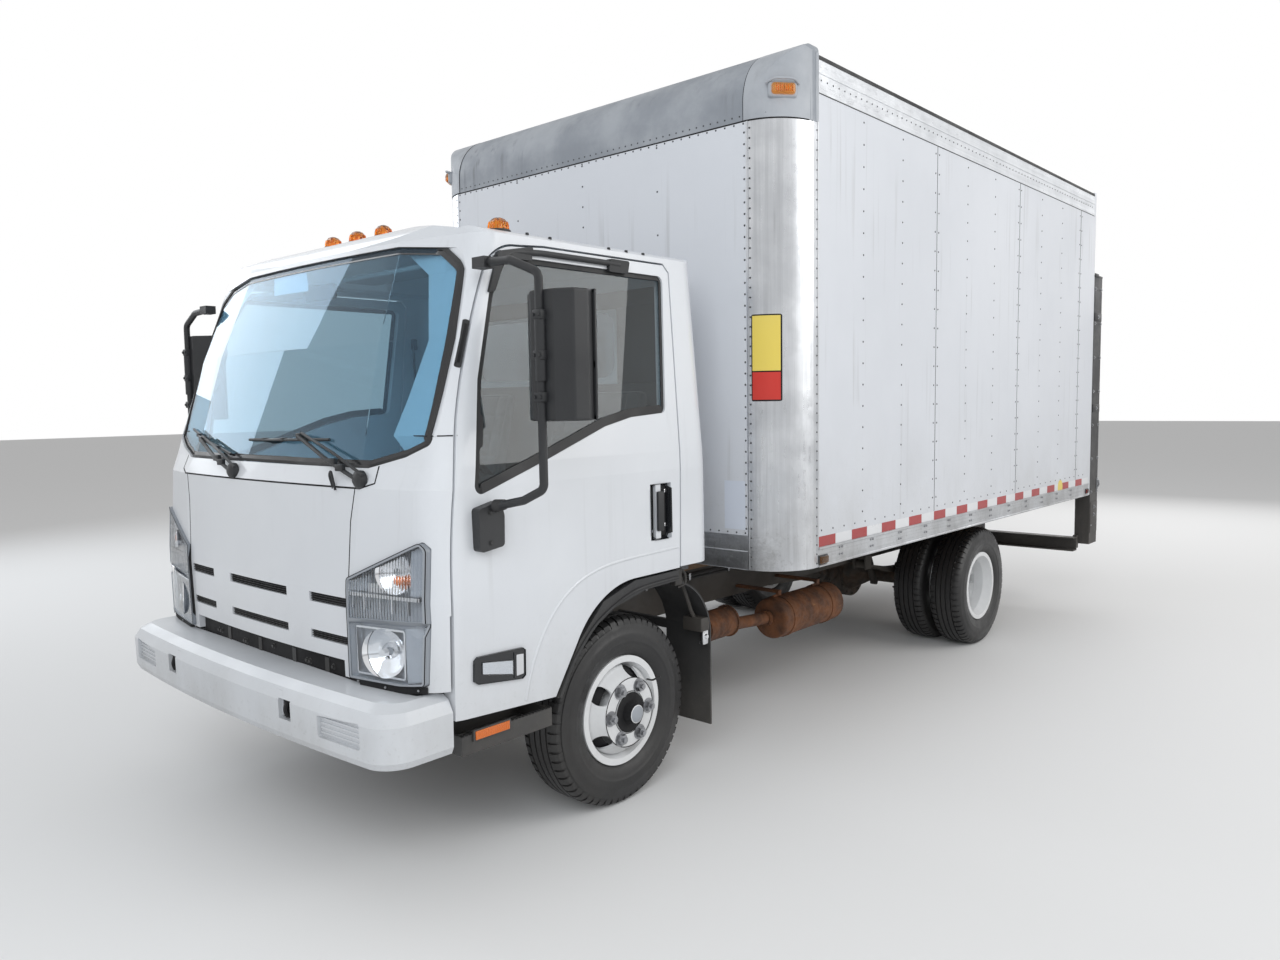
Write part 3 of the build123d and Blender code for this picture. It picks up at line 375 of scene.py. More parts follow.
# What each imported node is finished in
CAD_FINISH = {
    paint: ["cab_shell", "cab_roof", "front_panel", "door_left", "door_right"],
    bumper_paint: ["bumper"],
    interior: ["cab_floor", "dashboard"],
    lamp_grey: ["headlamps"],
    screen_glass: ["windscreen"],
    side_glass: ["rear_window", "door_glass_left", "door_glass_right"],
    black_plastic: ["steering_wheel", "wheel_arches", "mirror_left", "mirror_right"],
    seat_cloth: ["seats"],
    amber_shade_darkened: ["marker_lamps"],
    rubber: ["mud_flaps"],
    chassis_paint: ["chassis_frame", "leaf_springs", "drive_shaft", "fuel_tank", "battery_box"],
    cast_iron: ["front_axle", "rear_axle", "engine_block", "knuckle_left", "knuckle_right"],
    rusty_steel: ["exhaust"],
    wheel_paint: ["rim_front_left", "rim_front_right", "rims_rear_left", "rims_rear_right"],
    tyre_rubber: ["tyre_front_left", "tyre_front_right", "tyres_rear_left", "tyres_rear_right"],
    box_paint: ["box_front_wall", "side_walls", "rollup_door", "rear_frame"],
    roof_metal: ["box_roof"],
    post_metal: ["corner_posts"],
    rail_metal: ["box_rails"],
    cap_paint: ["nose_cap"],
    deck_wood: ["box_floor"],
    lift_paint: ["lift_columns", "lift_carriage", "lift_platform"],
}
for material, names in CAD_FINISH.items():
    for name in names:
        slots = nodes[name].data.materials
        slots.clear()
        slots.append(material)


# Mesh building
def mesh_of(name, bm):
    mesh = bpy.data.meshes.new(name)
    bm.to_mesh(mesh)
    bm.free()
    return mesh


def stand(name, data):
    """An object in the scene with the given mesh, lamp or camera."""
    made = bpy.data.objects.new(name, data)
    scene.collection.objects.link(made)
    return made


def keep(name, bm, material, body="chassis", smooth=30.0):
    """Turns a finished bmesh into a piece that rides on a body."""
    bmesh.ops.remove_doubles(bm, verts=bm.verts, dist=2e-5)
    bmesh.ops.recalc_face_normals(bm, faces=bm.faces)
    mesh = mesh_of(name, bm)
    mesh.materials.append(material)
    if smooth:
        mesh.shade_smooth()
        mesh.set_sharp_from_angle(angle=math.radians(smooth))
    piece = stand(name, mesh)
    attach(piece, body)
    return piece


def spoke(angle, first=Y, second=Z):
    """A direction in the plane of a wheel, or of two other axes."""
    return first * math.cos(angle) + second * math.sin(angle)


def turn_to(axis):
    """The rotation that takes +Z to an axis."""
    return Z.rotation_difference(Vector(axis)).to_matrix().to_4x4()


def rounded_cube(bm, place, bevel, segments):
    """A cube of size 1 set by a matrix, its edges rounded."""
    made = bmesh.ops.create_cube(bm, size=1, matrix=place)["verts"]
    if bevel:
        edges = list(dict.fromkeys(e for v in made for e in v.link_edges))
        bmesh.ops.bevel(bm, geom=edges, offset=bevel, segments=segments, profile=0.5,
                        affect="EDGES", material=-1)


def box(bm, low, high, bevel=0.0, segments=2):
    size = Matrix.Diagonal((*(abs(s) for s in high - low), 1))
    rounded_cube(bm, Matrix.Translation((low + high) / 2) @ size, bevel, segments)


def blocks(bm, rows, side=1):
    """Boxes by rows of two corners (across, station, height), then a bevel and its segments."""
    for x0, y0, z0, x1, y1, z1, *bevel in rows:
        box(bm, at(side * x0, y0, z0), at(side * x1, y1, z1), *bevel)


def built(rows, side=1):
    """A new mesh of boxes."""
    bm = bmesh.new()
    blocks(bm, rows, side)
    return bm


def drum(bm, centre, axis, radius, length, segments=24, end_radius=None, start=0.0):
    """A round post from centre along an axis; end_radius tapers it."""
    axis = Vector(axis).normalized()
    middle = centre + axis * (start + length / 2)
    bmesh.ops.create_cone(bm, cap_ends=True, segments=segments, radius1=radius,
                          radius2=radius if end_radius is None else end_radius, depth=length,
                          matrix=Matrix.Translation(middle) @ turn_to(axis))


def bolt(bm, place, axis, size=10, height=6, sides=6, washer=0):
    """A bolt head standing on a face along an axis, size across its corners."""
    if washer:
        drum(bm, place, axis, washer / 2 * MM, 2 * MM, 16)
        place = place + Vector(axis) * 2 * MM
    drum(bm, place, axis, size / 2 * MM, height * MM, sides, end_radius=size * 0.45 * MM)


def turned(bm, profile, centre, axis, steps=48):
    """A turned shape: profile points are (along the axis, radius) in millimetres."""
    axis = Vector(axis).normalized()
    out = axis.orthogonal().normalized()
    verts = [bm.verts.new(centre + axis * a * MM + out * r * MM) for a, r in profile]
    edges = [bm.edges.new(two) for two in zip(verts, verts[1:])]
    bmesh.ops.spin(bm, geom=verts + edges, cent=centre, axis=axis, angle=math.tau, steps=steps,
                   use_merge=True)
    bmesh.ops.remove_doubles(bm, verts=bm.verts, dist=1e-6)


def tube(bm, points, radius, closed=False, sides=10, bend=None):
    """A bent round bar whose line passes the points, with smooth bends where bend is given."""
    curve = bpy.data.curves.new("bar", "CURVE")
    curve.dimensions = "3D"
    curve.bevel_depth = radius
    curve.bevel_resolution = max(1, sides // 4)
    curve.use_fill_caps = not closed
    route = bend_points(points, bend) if bend else points
    line = curve.splines.new("POLY")
    line.points.add(len(route) - 1)
    for spot, point in zip(line.points, route):
        spot.co = (*point, 1)
    line.use_cyclic_u = closed
    holder = bpy.data.objects.new("bar", curve)
    mesh = bpy.data.meshes.new_from_object(holder)
    bm.from_mesh(mesh)
    bpy.data.objects.remove(holder)
    bpy.data.meshes.remove(mesh)
    bpy.data.curves.remove(curve)


def bar(bm, places, radius, side=1, **shape):
    """A bent bar by the places that it passes, each (across, station, height)."""
    tube(bm, [at(side * x, y, z) for x, y, z in places], radius, **shape)


def bend_points(points, radius, steps=5):
    """The same route with each inner corner turned into an arc-like bend."""
    route = [points[0]]
    for before, corner, after in zip(points, points[1:], points[2:]):
        a, b = (before - corner), (after - corner)
        cut = min(radius, a.length / 2.05, b.length / 2.05)
        a, b = corner + a.normalized() * cut, corner + b.normalized() * cut
        for i in range(steps + 1):
            t = i / steps
            route.append(a * (1 - t) ** 2 + corner * 2 * t * (1 - t) + b * t ** 2)
    return route + [points[-1]]


def skin(*names):
    """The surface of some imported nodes, to lay thin pieces on."""
    verts, faces = [], []
    for name in names:
        mesh = nodes[name].data
        first = len(verts)
        verts += [v.co.copy() for v in mesh.vertices]
        faces += [[first + i for i in p.vertices] for p in mesh.polygons]
    return BVHTree.FromPolygons(verts, faces)


# A view is looked along its direction, and places in it are (across, up) in millimetres
VIEWS = {
    "front": (Y, lambda a, b: at(a, -3000, b)),
    "rear": (-Y, lambda a, b: at(a, 9000, b)),
    "left": (-X, lambda a, b: at(3000, a, b)),
    "right": (X, lambda a, b: at(-3000, a, b)),
    "top": (-Z, lambda a, b: at(a, b, 5000)),
}


def on(surface, view, a, b, lift=0.0):
    """The place on a surface seen at (a, b) in a view, lifted towards the viewer."""
    direction, place = VIEWS[view]
    start = place(a, b)
    spot, *_ = surface.ray_cast(start, direction)
    if spot is None:
        spot, *_ = surface.find_nearest(start + direction * 2)
    return spot - direction * lift * MM


def patch(bm, outline, view, surface, thick, lift=0.0, radius=0.0, ring=0.0, step=40.0):
    """A thin sheet with the given outline in a view, laid on a surface and cut finely enough
    to follow it. ring leaves only a frame of that width."""
    direction, place = VIEWS[view]
    sheet = bmesh.new()
    corners = [sheet.verts.new(place(a, b)) for a, b in outline]
    sheet.faces.new(corners)
    if radius:
        bmesh.ops.bevel(sheet, geom=corners, offset=radius * MM, segments=5, profile=0.5,
                        affect="VERTICES", material=-1)
    if ring:
        inner = bmesh.ops.inset_individual(sheet, faces=sheet.faces[:], thickness=ring * MM,
                                           use_even_offset=True)
        rim = set(inner["faces"])
        bmesh.ops.delete(sheet, geom=[f for f in sheet.faces if f not in rim], context="FACES")
    if step:
        for i in range(3):
            if abs(direction[i]) > 0.5:
                continue
            low = min(v.co[i] for v in sheet.verts)
            high = max(v.co[i] for v in sheet.verts)
            count = max(1, round((high - low) / (step * MM)))
            for k in range(1, count):
                cut, normal = Vector((0, 0, 0)), Vector((0, 0, 0))
                cut[i], normal[i] = low + (high - low) * k / count, 1
                bmesh.ops.bisect_plane(sheet, geom=sheet.verts[:] + sheet.edges[:] + sheet.faces[:],
                                       dist=1e-6, plane_co=cut, plane_no=normal)
    for v in sheet.verts:
        spot, *_ = surface.ray_cast(v.co, direction)
        if spot is None:
            spot, *_ = surface.find_nearest(v.co + direction * 2)
        v.co = spot
        v.co -= direction * lift * MM
    base = sheet.faces[:]
    for face in base:
        face.normal_update()
        if face.normal.dot(direction) > 0:
            face.normal_flip()
    made = bmesh.ops.extrude_face_region(sheet, geom=base)["geom"]
    for v in (g for g in made if isinstance(g, bmesh.types.BMVert)):
        v.co -= direction * thick * MM
    bmesh.ops.recalc_face_normals(sheet, faces=sheet.faces[:])
    join(bm, sheet)


def laid(outlines, view, surface, thick, lift=0.0, **shape):
    """A new mesh of sheets laid on a surface."""
    bm = bmesh.new()
    for outline in outlines:
        patch(bm, outline, view, surface, thick, lift, **shape)
    return bm


def join(bm, other):
    mesh = mesh_of("part", other)
    bm.from_mesh(mesh)
    bpy.data.meshes.remove(mesh)


def strip(points, width):
    """The outline of a narrow band along a line of (across, up) points."""
    sides = ([], [])
    for i, (a, b) in enumerate(points):
        before, after = points[max(i - 1, 0)], points[min(i + 1, len(points) - 1)]
        along = Vector((after[0] - before[0], after[1] - before[1])).normalized()
        for side, sign in zip(sides, (1, -1)):
            side.append((a - sign * along.y * width / 2, b + sign * along.x * width / 2))
    return sides[0] + sides[1][::-1]


def rectangle(a0, b0, a1, b1):
    return [(a0, b0), (a1, b0), (a1, b1), (a0, b1)]


def seen_from(side, points):
    """Points of the left side, or flipped for the right one."""
    return points if side > 0 else [(-a, b) for a, b in points]


# Studio and camera
def make_studio():
    bm = bmesh.new()
    bmesh.ops.create_grid(bm, x_segments=1, y_segments=1, size=60)
    floor = stand("studio_floor", mesh_of("studio_floor", bm))
    material, tree, shader = start_material("pale_floor")
    feed(tree, shader, {"Base Color": (0.78, 0.78, 0.78, 1), "Roughness": 0.9,
                        "Specular IOR Level": 0.1})
    floor.data.materials.append(material)

    # White where the camera looks, softer in reflections, dimmer as a light
    world = bpy.data.worlds.new("studio_sky")
    scene.world = world
    world.use_nodes = True
    tree = world.node_tree
    rays = add(tree, "ShaderNodeLightPath", {}).outputs
    mirrored = times(tree, rays["Is Glossy Ray"], 0.6)
    seen = calc(tree, "MAXIMUM", rays["Is Camera Ray"],
                calc(tree, "MAXIMUM", mirrored, rays["Is Transmission Ray"]))
    strength = add(tree, "ShaderNodeMapRange", {"Value": seen, "To Min": 0.54, "To Max": 1.0})
    feed(tree, tree.nodes["Background"], {0: (1, 1, 1, 1), 1: strength.outputs[0]})

    for name, place, size, power, colour in (
            ("sky_front_left", (5.5, -8.0, 5.5), 6.0, 400, (0.93, 0.97, 1.0)),
            ("sky_right", (-8.0, -3.0, 5.5), 6.0, 220, (0.90, 0.95, 1.0)),
            ("sky_left", (9.0, 3.0, 5.5), 7.0, 340, (1.0, 0.99, 0.97)),
            ("sky_rear", (0.0, 10.0, 5.5), 6.0, 230, (1.0, 1.0, 1.0))):
        light = bpy.data.lights.new(name, "AREA")
        light.energy, light.size, light.color = power, size, colour
        lamp = stand(name, light)
        lamp.location = place
        lamp.rotation_euler = (Vector((0, 0, 1.2)) - Vector(place)).to_track_quat(
            "-Z", "Y").to_euler()
        # The front lamp would mirror as a square in the screen and the lamps
        lamp.visible_glossy = name != "sky_front_left"


def make_camera():
    """The viewpoint of the photo: about three quarters from the front left, at standing height."""
    camera = stand("camera", bpy.data.cameras.new("camera"))
    yaw, pitch, roll = -0.7284, -0.0823, -0.0151
    ahead = Vector((math.sin(yaw) * math.cos(pitch), math.cos(yaw) * math.cos(pitch),
                    math.sin(pitch)))
    level = Vector((math.cos(yaw), -math.sin(yaw), 0))
    upright = level.cross(ahead)
    right = math.cos(roll) * level + math.sin(roll) * upright
    up = -math.sin(roll) * level + math.cos(roll) * upright
    turn = Matrix((right, up, -ahead)).transposed().to_4x4()
    turn.translation = at(3469.6, -2730.8, 1629.1)
    camera.matrix_world = turn
    camera.data.sensor_width = 36
    camera.data.lens = 26.51
    scene.camera = camera
    scene.view_settings.view_transform = "Standard"


make_studio()
make_camera()

# Cab surfaces that thin pieces are laid on
cab_skin = skin("cab_shell", "front_panel", "windscreen", "door_left", "door_right",
                "headlamps", "cab_roof")
glass_skin = skin("windscreen")
SIDES = (("left", 1), ("right", -1))


# Trims that follow the rim of a glass
def rim_loop(name, heart):
    """The closed line of points round the outer face of a sheet of glass, seen from a heart."""
    bm = bmesh.new()
    bm.from_mesh(nodes[name].data)
    bmesh.ops.remove_doubles(bm, verts=bm.verts, dist=2e-5)
    outer = {f for f in bm.faces
             if f.normal.dot((f.calc_center_median() - heart).normalized()) > 0.3}
    edge = [e for e in bm.edges if sum(f in outer for f in e.link_faces) == 1]
    ways = {}
    for e in edge:
        a, b = e.verts
        ways.setdefault(a, []).append(b)
        ways.setdefault(b, []).append(a)
    start = edge[0].verts[0]
    loop, before, here = [start], None, start
    while True:
        after = next((v for v in ways[here] if v is not before), None)
        if after is None or after is start:
            break
        loop.append(after)
        before, here = here, after
    points = [v.co.copy() for v in loop]
    bm.free()
    return points


def evened(points, pitch):
    """Points at an even pitch along a closed line."""
    total = sum((b - a).length for a, b in zip(points, points[1:] + points[:1]))
    count = round(total / pitch)
    step, out, gone = total / count, [], 0.0
    for a, b in zip(points, points[1:] + points[:1]):
        length = (b - a).length
        while len(out) < count and len(out) * step <= gone + length:
            out.append(a.lerp(b, (len(out) * step - gone) / max(length, 1e-9)))
        gone += length
    return out


def glass_band(name, outside, inside, thick, lift, widen=None):
    """A raised band along the rim of a glass: how far it stands outside and inside the rim.
    widen gives extra width inside for a point."""
    bm = bmesh.new()
    verts = nodes[name].data.vertices
    heart = sum((v.co for v in verts), Vector()) / len(verts)
    heart = heart + Vector((0, 0.9, 0)) if name == "windscreen" else Vector((0, heart.y, heart.z))
    points = evened(rim_loop(name, heart), 0.012)
    surface, body = skin(name), skin("cab_shell", "door_left", "door_right", "cab_roof", name)
    rows = []
    n = len(points)
    for i, p in enumerate(points):
        along = (points[(i + 2) % n] - points[i - 2]).normalized()
        face = (p - heart).normalized()
        inward = along.cross(face).normalized()
        spot, normal, *_ = surface.find_nearest(p + inward * 0.02)
        if (spot - p).length < 0.008:
            inward = -inward
            spot, normal, *_ = surface.find_nearest(p + inward * 0.02)
        if normal.dot(face) < 0:
            normal = -normal
        more = widen(p) if widen else 0.0
        ring = []
        for reach, up in ((-outside, lift), (inside + more, lift), (inside + more, lift + thick),
                          (0.0, lift + thick * 1.3), (-outside, lift + thick)):
            base = surface if reach > 0 else body
            near, *_ = base.find_nearest(p + inward * reach)
            ring.append(bm.verts.new(near + normal * up))
        rows.append(ring)
    for a, b in zip(rows, rows[1:] + rows[:1]):
        for k in range(5):
            m = (k + 1) % 5
            bm.faces.new((a[k], a[m], b[m], b[k]))
    return bm


def sloping_foot(p):
    """The frame of a door's window is wider along its sloping foot."""
    station, z = (p.y - FRONT_AXLE_Y) / MM, p.z / MM
    return 0.014 if z < 1600 and -780 < station < 215 else 0.0


keep("windscreen_rubber", glass_band("windscreen", 0.008, 0.012, 0.004, 0.001), rubber, smooth=50)
keep("windscreen_black_edge", glass_band("windscreen", -0.009, 0.032, 0.0006, 0.0006),
     black_gloss, smooth=50)
for word, side in SIDES:
    keep(f"window_frame_{word}",
         glass_band(f"door_glass_{word}", 0.007, 0.021, 0.005, 0.001, sloping_foot), rubber,
         f"door_{word}", 50)


# Tyres and wheels
TYRE_RADIUS = 386
TREAD_PITCHES = 60
SHOULDER = 56
TYRE_SECTION = [(77, 205), (78, 222), (88, 229), (97, 243), (104, 266), (106, 278), (107.3, 280),
                (107.3, 284), (106.8, 300), (107.2, 316), (106, 318), (103, 338), (99, 352),
                (97, 362), (92, 372), (82, 380), (70, 384.2), (SHOULDER + 1, 385.2), (52, 385.5),
                (51, 377), (46, 377), (45, 385.8), (20, 386), (19, 377.5), (13, 377.5),
                (12, 386)]
REAR_AXLE = 3365
FRONT_WHEEL, REAR_TWINS = 832, (698, 952)
FRONT_DISC, REAR_DISC, REAR_HUB = 959, 833, 917
NUT_CIRCLE, NUT = 111.12, 47


def make_tyre(bm, centre):
    """Carcass with rim protector and ridged walls, four grooves, and sipes over the shoulders."""
    section = TYRE_SECTION + [(-a, r) for a, r in reversed(TYRE_SECTION)]
    tyre = bmesh.new()
    row = [tyre.verts.new(centre + X * a * MM + Z * r * MM) for a, r in section]
    edges = [tyre.edges.new(two) for two in zip(row, row[1:])]
    geom = row + edges
    pitch = math.tau / TREAD_PITCHES

    def step_shoulder(verts, depth):
        for v in verts:
            arm = v.co - centre
            across, arm.x = arm.x, 0
            if abs(across) > (SHOULDER + 0.5) * MM and arm.length > 354 * MM:
                v.co -= arm.normalized() * depth * MM

    for _ in range(TREAD_PITCHES):
        for share, depth in ((0.74, 8), (0.26, -8)):
            made = bmesh.ops.spin(tyre, geom=geom, cent=centre, axis=X, angle=pitch * share,
                                  steps=1)["geom_last"]
            edges = [g for g in made if isinstance(g, bmesh.types.BMEdge)]
            made = bmesh.ops.extrude_edge_only(tyre, edges=edges)["geom"]
            verts = [g for g in made if isinstance(g, bmesh.types.BMVert)]
            edges = [g for g in made if isinstance(g, bmesh.types.BMEdge)
                     and all(v in set(verts) for v in g.verts)]
            step_shoulder(verts, depth)
            geom = verts + edges
    bmesh.ops.remove_doubles(tyre, verts=tyre.verts, dist=4e-5)
    bmesh.ops.dissolve_degenerate(tyre, edges=tyre.edges, dist=1e-5)
    join(bm, tyre)


def dress_wheels(word, side):
    front, rear = f"wheel_front_{word}", f"wheels_rear_{word}"
    bm = bmesh.new()
    make_tyre(bm, at(side * FRONT_WHEEL, 0, TYRE_RADIUS))
    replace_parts(keep(f"tyre_front_{word}_treaded", bm, tyre_rubber, front, 40),
                f"tyre_front_{word}")
    bm = bmesh.new()
    for across in REAR_TWINS:
        make_tyre(bm, at(side * across, REAR_AXLE, TYRE_RADIUS))
    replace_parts(keep(f"tyres_rear_{word}_treaded", bm, tyre_rubber, rear, 40),
                f"tyres_rear_{word}")

    # Nut face of the front disc, and of the outer rear one seen in its dish
    out = X * side
    for name, place, body in (("front", at(side * FRONT_DISC, 0, TYRE_RADIUS), front),
                              ("rear", at(side * REAR_DISC, REAR_AXLE, TYRE_RADIUS), rear)):
        bm, ring, cap = bmesh.new(), bmesh.new(), bmesh.new()
        for i in range(6):
            spot = place + spoke(math.radians(60 * i)) * NUT_CIRCLE * MM
            drum(bm, spot, out, 0.031, 0.003, 20)
            drum(bm, spot, out, NUT / 2 * MM, 0.017, 6, NUT * 0.46 * MM, start=0.003)
            drum(bm, spot, out, 0.0105, 0.012, 10, start=0.018)
        turned(ring, [(0.6, 138), (1.4, 138), (1.4, 141.5), (0.6, 141.5)], place, out, 64)
        turned(ring, [(0.6, 84), (1.2, 84), (1.2, 86.5), (0.6, 86.5)], place, out, 48)
        if name == "rear":
            hub = at(side * REAR_HUB, REAR_AXLE, TYRE_RADIUS)
            for i in range(8):
                bolt(cap, hub + spoke(math.radians(22.5 + 45 * i)) * 0.047, out, 17, 9, washer=22)
            turned(cap, [(0, 30), (4, 29), (6, 24), (6, 0)], hub, out, 32)
        else:
            turned(ring, [(3.5, 81), (5, 79.5), (5, 45.8), (40.7, 38.8), (40.7, 30)], place,
                   out, 40)
            turned(cap, [(40.8, 34), (43, 33), (47.4, 25), (48.4, 14), (48.4, 0)], place,
                   out, 36)
            # Painted shade: a dark ring behind the hand holes, standing for the dark space seen
            # through them
            turned(ring, [(-79, 175.5), (-37, 146), (-39, 145), (-81, 174.5), (-79, 175.5)],
                   place, out, 48)
        keep(f"wheel_nuts_{name}_{word}", bm, zinc, body)
        keep(f"dark_disc_rings_{name}_{word}", ring, gap_and_shade_black, body)
        keep(f"hub_cap_{name}_{word}", cap, lamp_grey, body)
        valve = bmesh.new()
        way = spoke(math.radians(38))
        root = place + way * 0.165
        tip = root + way * 0.022 + out * 0.03
        tube(valve, [root - out * 0.02, root + out * 0.01, tip], 0.004, bend=0.01)
        drum(valve, tip, (tip - root).normalized(), 0.0055, 0.008, 10)
        keep(f"valve_{name}_{word}", valve, rubber, body)


for word, side in SIDES:
    dress_wheels(word, side)


# Cab front
PANEL_SIDE = [(656, 1355), (632, 1242), (622, 1060), (614, 700)]
COWL_SEAM = [(737, 1430), (742, 1374), (681, 1356), (-681, 1356), (-742, 1374), (-737, 1430)]
PILLAR_SEAM = [(-912, 1530), (-846, 1531)]
SLOTS = [(380, 608, 943, 977), (-226, 226, 943, 977), (377, 604, 811, 841), (-224, 224, 811, 841),
         (-608, -380, 943, 977), (-604, -377, 811, 841)]


def make_front_seams():
    bm = laid([strip(COWL_SEAM, 6), strip(PANEL_SIDE, 4), strip(seen_from(-1, PANEL_SIDE), 4)],
              "front", cab_skin, 0.7, step=60)
    for word in ("left", "right"):
        patch(bm, strip(PILLAR_SEAM, 4), word, cab_skin, 1.8, step=6)
    keep("front_panel_seams", bm, gap_and_shade_black, smooth=0)


def bridge(surface, xs, low, high, hold=None):
    """A surface that spans an opening of the front, held to the real one above and below it, or
    to the real one at a single height."""
    points = []
    for x in xs:
        for z in (low, high):
            spot = on(surface, "front", x, hold or z)
            points.append(Vector((spot.x, spot.y, z * MM)))
    faces = [(2 * i, 2 * i + 1, 2 * i + 3, 2 * i + 2) for i in range(len(xs) - 1)]
    return BVHTree.FromPolygons(points, faces)


def make_slot_backing():
    """Black louvres in the slots, backed with painted shade, and painted shade over the bumper."""
    panel = skin("front_panel")
    fill, vanes = bmesh.new(), bmesh.new()
    for x0, x1, z0, z1 in SLOTS:
        xs = [x0 + (x1 - x0) * k / 8 for k in range(9)]
        sheet = bridge(panel, xs, z0 - 5, z1 + 5)
        # A dark sheet set back in each slot: painted shade behind the vanes
        patch(fill, rectangle(x0 + 1, z0 + 0.5, x1 - 1, z1 - 0.5), "front", sheet, 3, -13)
        for k in range(1, 4):
            z = z0 + (z1 - z0) * k / 4
            patch(vanes, rectangle(x0 + 2, z - 1, x1 - 2, z + 1), "front", sheet, 8, -12, step=60)
    keep("slot_shade_backing", fill, gap_and_shade_black)
    keep("slot_vanes", vanes, black_plastic)
    # A dark sheet set back in the opening over the bumper: painted shade
    sheet = bridge(panel, [-575 + 115 * k for k in range(11)], 640, 775, hold=770)
    keep("front_opening_shade",
         laid([rectangle(-574, 655, 574, 770)], "front", sheet, 3, -28, step=60), gap_and_shade_black)
    heads = bmesh.new()
    for x, z in ((-420, 712), (-395, 712), (-180, 706), (-160, 706), (60, 722), (300, 708),
                 (322, 708), (470, 712)):
        bolt(heads, on(sheet, "front", x, z, -26), -Y, 15, 7, 6, washer=22)
    for x in (-330, -60, 200, 420):
        patch(heads, rectangle(x, 668, x + 26, 740), "front", sheet, 4, -26, step=0)
    keep("front_opening_fittings", heads, black_plastic)


# Head lamps: outlines of the whole lamp and of its pieces, as (across, up)
LAMP_EDGE = [(618, 705), (860, 710), (964, 724), (978, 930), (978, 1170), (957, 1192), (624, 1051)]
UPPER_LENS = [(628, 918), (970, 938), (970, 1166), (954, 1182), (633, 1046)]
LOWER_LENS = [(627, 713), (858, 718), (956, 731), (970, 920), (628, 900)]
LENS_BAR = [(626, 902), (972, 922), (972, 936), (626, 916)]
UNDER_GAP = [(604, 684), (860, 687), (978, 700), (978, 722), (860, 708), (604, 703)]
INNER_PANELS = (([(884, 722), (957, 735), (968, 917), (886, 905)], -14),
                ([(630, 1006), (712, 1012), (712, 1068), (634, 1042)], -26),
                ([(905, 1014), (966, 1016), (966, 1164), (954, 1178), (905, 1158)], -20))
LAMP_BOWL = [(0, 14), (2, 16), (10, 42), (24, 66), (36, 80), (38, 83), (34, 83), (22, 68), (8, 44),
             (-2, 14)]
TURN_BOWL = [(0, 12), (4, 14), (14, 44), (28, 64), (34, 70), (31, 71), (10, 47), (-2, 12)]
lamp_skin = skin("headlamps")


def make_headlamp(word, side):
    def lay(bm, points, thick, lift, step=60, **shape):
        patch(bm, seen_from(side, points), "front", lamp_skin, thick, lift, step=step, **shape)
        return bm

    def spot(a, b, lift):
        return on(lamp_skin, "front", side * a, b, lift)

    out = Vector((side * 0.42, -0.90, 0.02)).normalized()
    body = lay(bmesh.new(), LAMP_EDGE, 46, -48, radius=10, ring=5)
    lay(body, LAMP_EDGE, 3, -52, radius=10)
    for points, depth in INNER_PANELS:
        lay(body, points, 3, depth)
    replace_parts(keep(f"lamp_housing_{word}", body, lamp_pale), "headlamps")
    edge = lay(bmesh.new(), LAMP_EDGE, 3.5, -0.5, radius=10, ring=9)
    lay(edge, LENS_BAR, 3, -1)
    keep(f"lamp_edge_{word}", edge, lamp_grey)
    edge = lay(bmesh.new(), LAMP_EDGE, 1.5, 2.4, radius=10, ring=2.4)
    under = bridge(lamp_skin, [side * (612 + 41 * k) for k in range(10)], 670, 730, hold=738)
    patch(edge, seen_from(side, UNDER_GAP), "front", under, 5, -7, step=60)
    keep(f"lamp_gasket_{word}", edge, gap_and_shade_black)
    for name, points, lens in (("turn", UPPER_LENS, clear_lens), ("head", LOWER_LENS, smooth_lens)):
        keep(f"{name}_lens_{word}", lay(bmesh.new(), points, 2.5, -3, step=45, radius=8), lens)

    bright, dome = bmesh.new(), bmesh.new()
    turned(bright, LAMP_BOWL, spot(764, 808, -46), out, 40)
    lay(bright, [(640, 722), (872, 727), (878, 897), (640, 890)], 22, -38, radius=12, ring=7)
    drum(bright, spot(764, 808, -30), out, 0.015, 0.022, 16, end_radius=0.012)
    # The upper bowl is cut off under the slanted edge of the lamp
    turned(dome, TURN_BOWL, spot(825, 1082, -42), out, 36)
    low, high = spot(633, 1040, 0), spot(954, 1174, 0)
    above = (high - low).cross(out)
    above *= 1 if above.z > 0 else -1
    bmesh.ops.bisect_plane(dome, geom=dome.verts[:] + dome.edges[:] + dome.faces[:],
                           plane_co=low, plane_no=above, clear_outer=True)
    join(bright, dome)
    lay(bright, [(718, 1010), (800, 1013), (800, 1046), (718, 1040)], 14, -30)
    lay(bright, [(630, 994), (955, 1000), (955, 1012), (630, 1006)], 12, -16)
    for a in (640, 700, 770, 830, 900):
        lay(bright, rectangle(a, 950, a + 6, 996), 9, -18, step=0)
    keep(f"lamp_reflectors_{word}", bright, chrome)
    bulb = bmesh.new()
    bmesh.ops.create_uvsphere(bulb, u_segments=16, v_segments=10, radius=0.017,
                              matrix=Matrix.Translation(spot(846, 1058, -24)))
    drum(bulb, spot(846, 1058, -40), out, 0.010, 0.020, 14)
    keep(f"turn_bulbs_{word}", bulb, amber_shade_darkened)
    screws = bmesh.new()
    for a, b in ((640, 694), (790, 698), (940, 709)):
        bolt(screws, on(under, "front", side * a, b, -2), out, 9, 3, 8)
    keep(f"lamp_screws_{word}", screws, zinc)


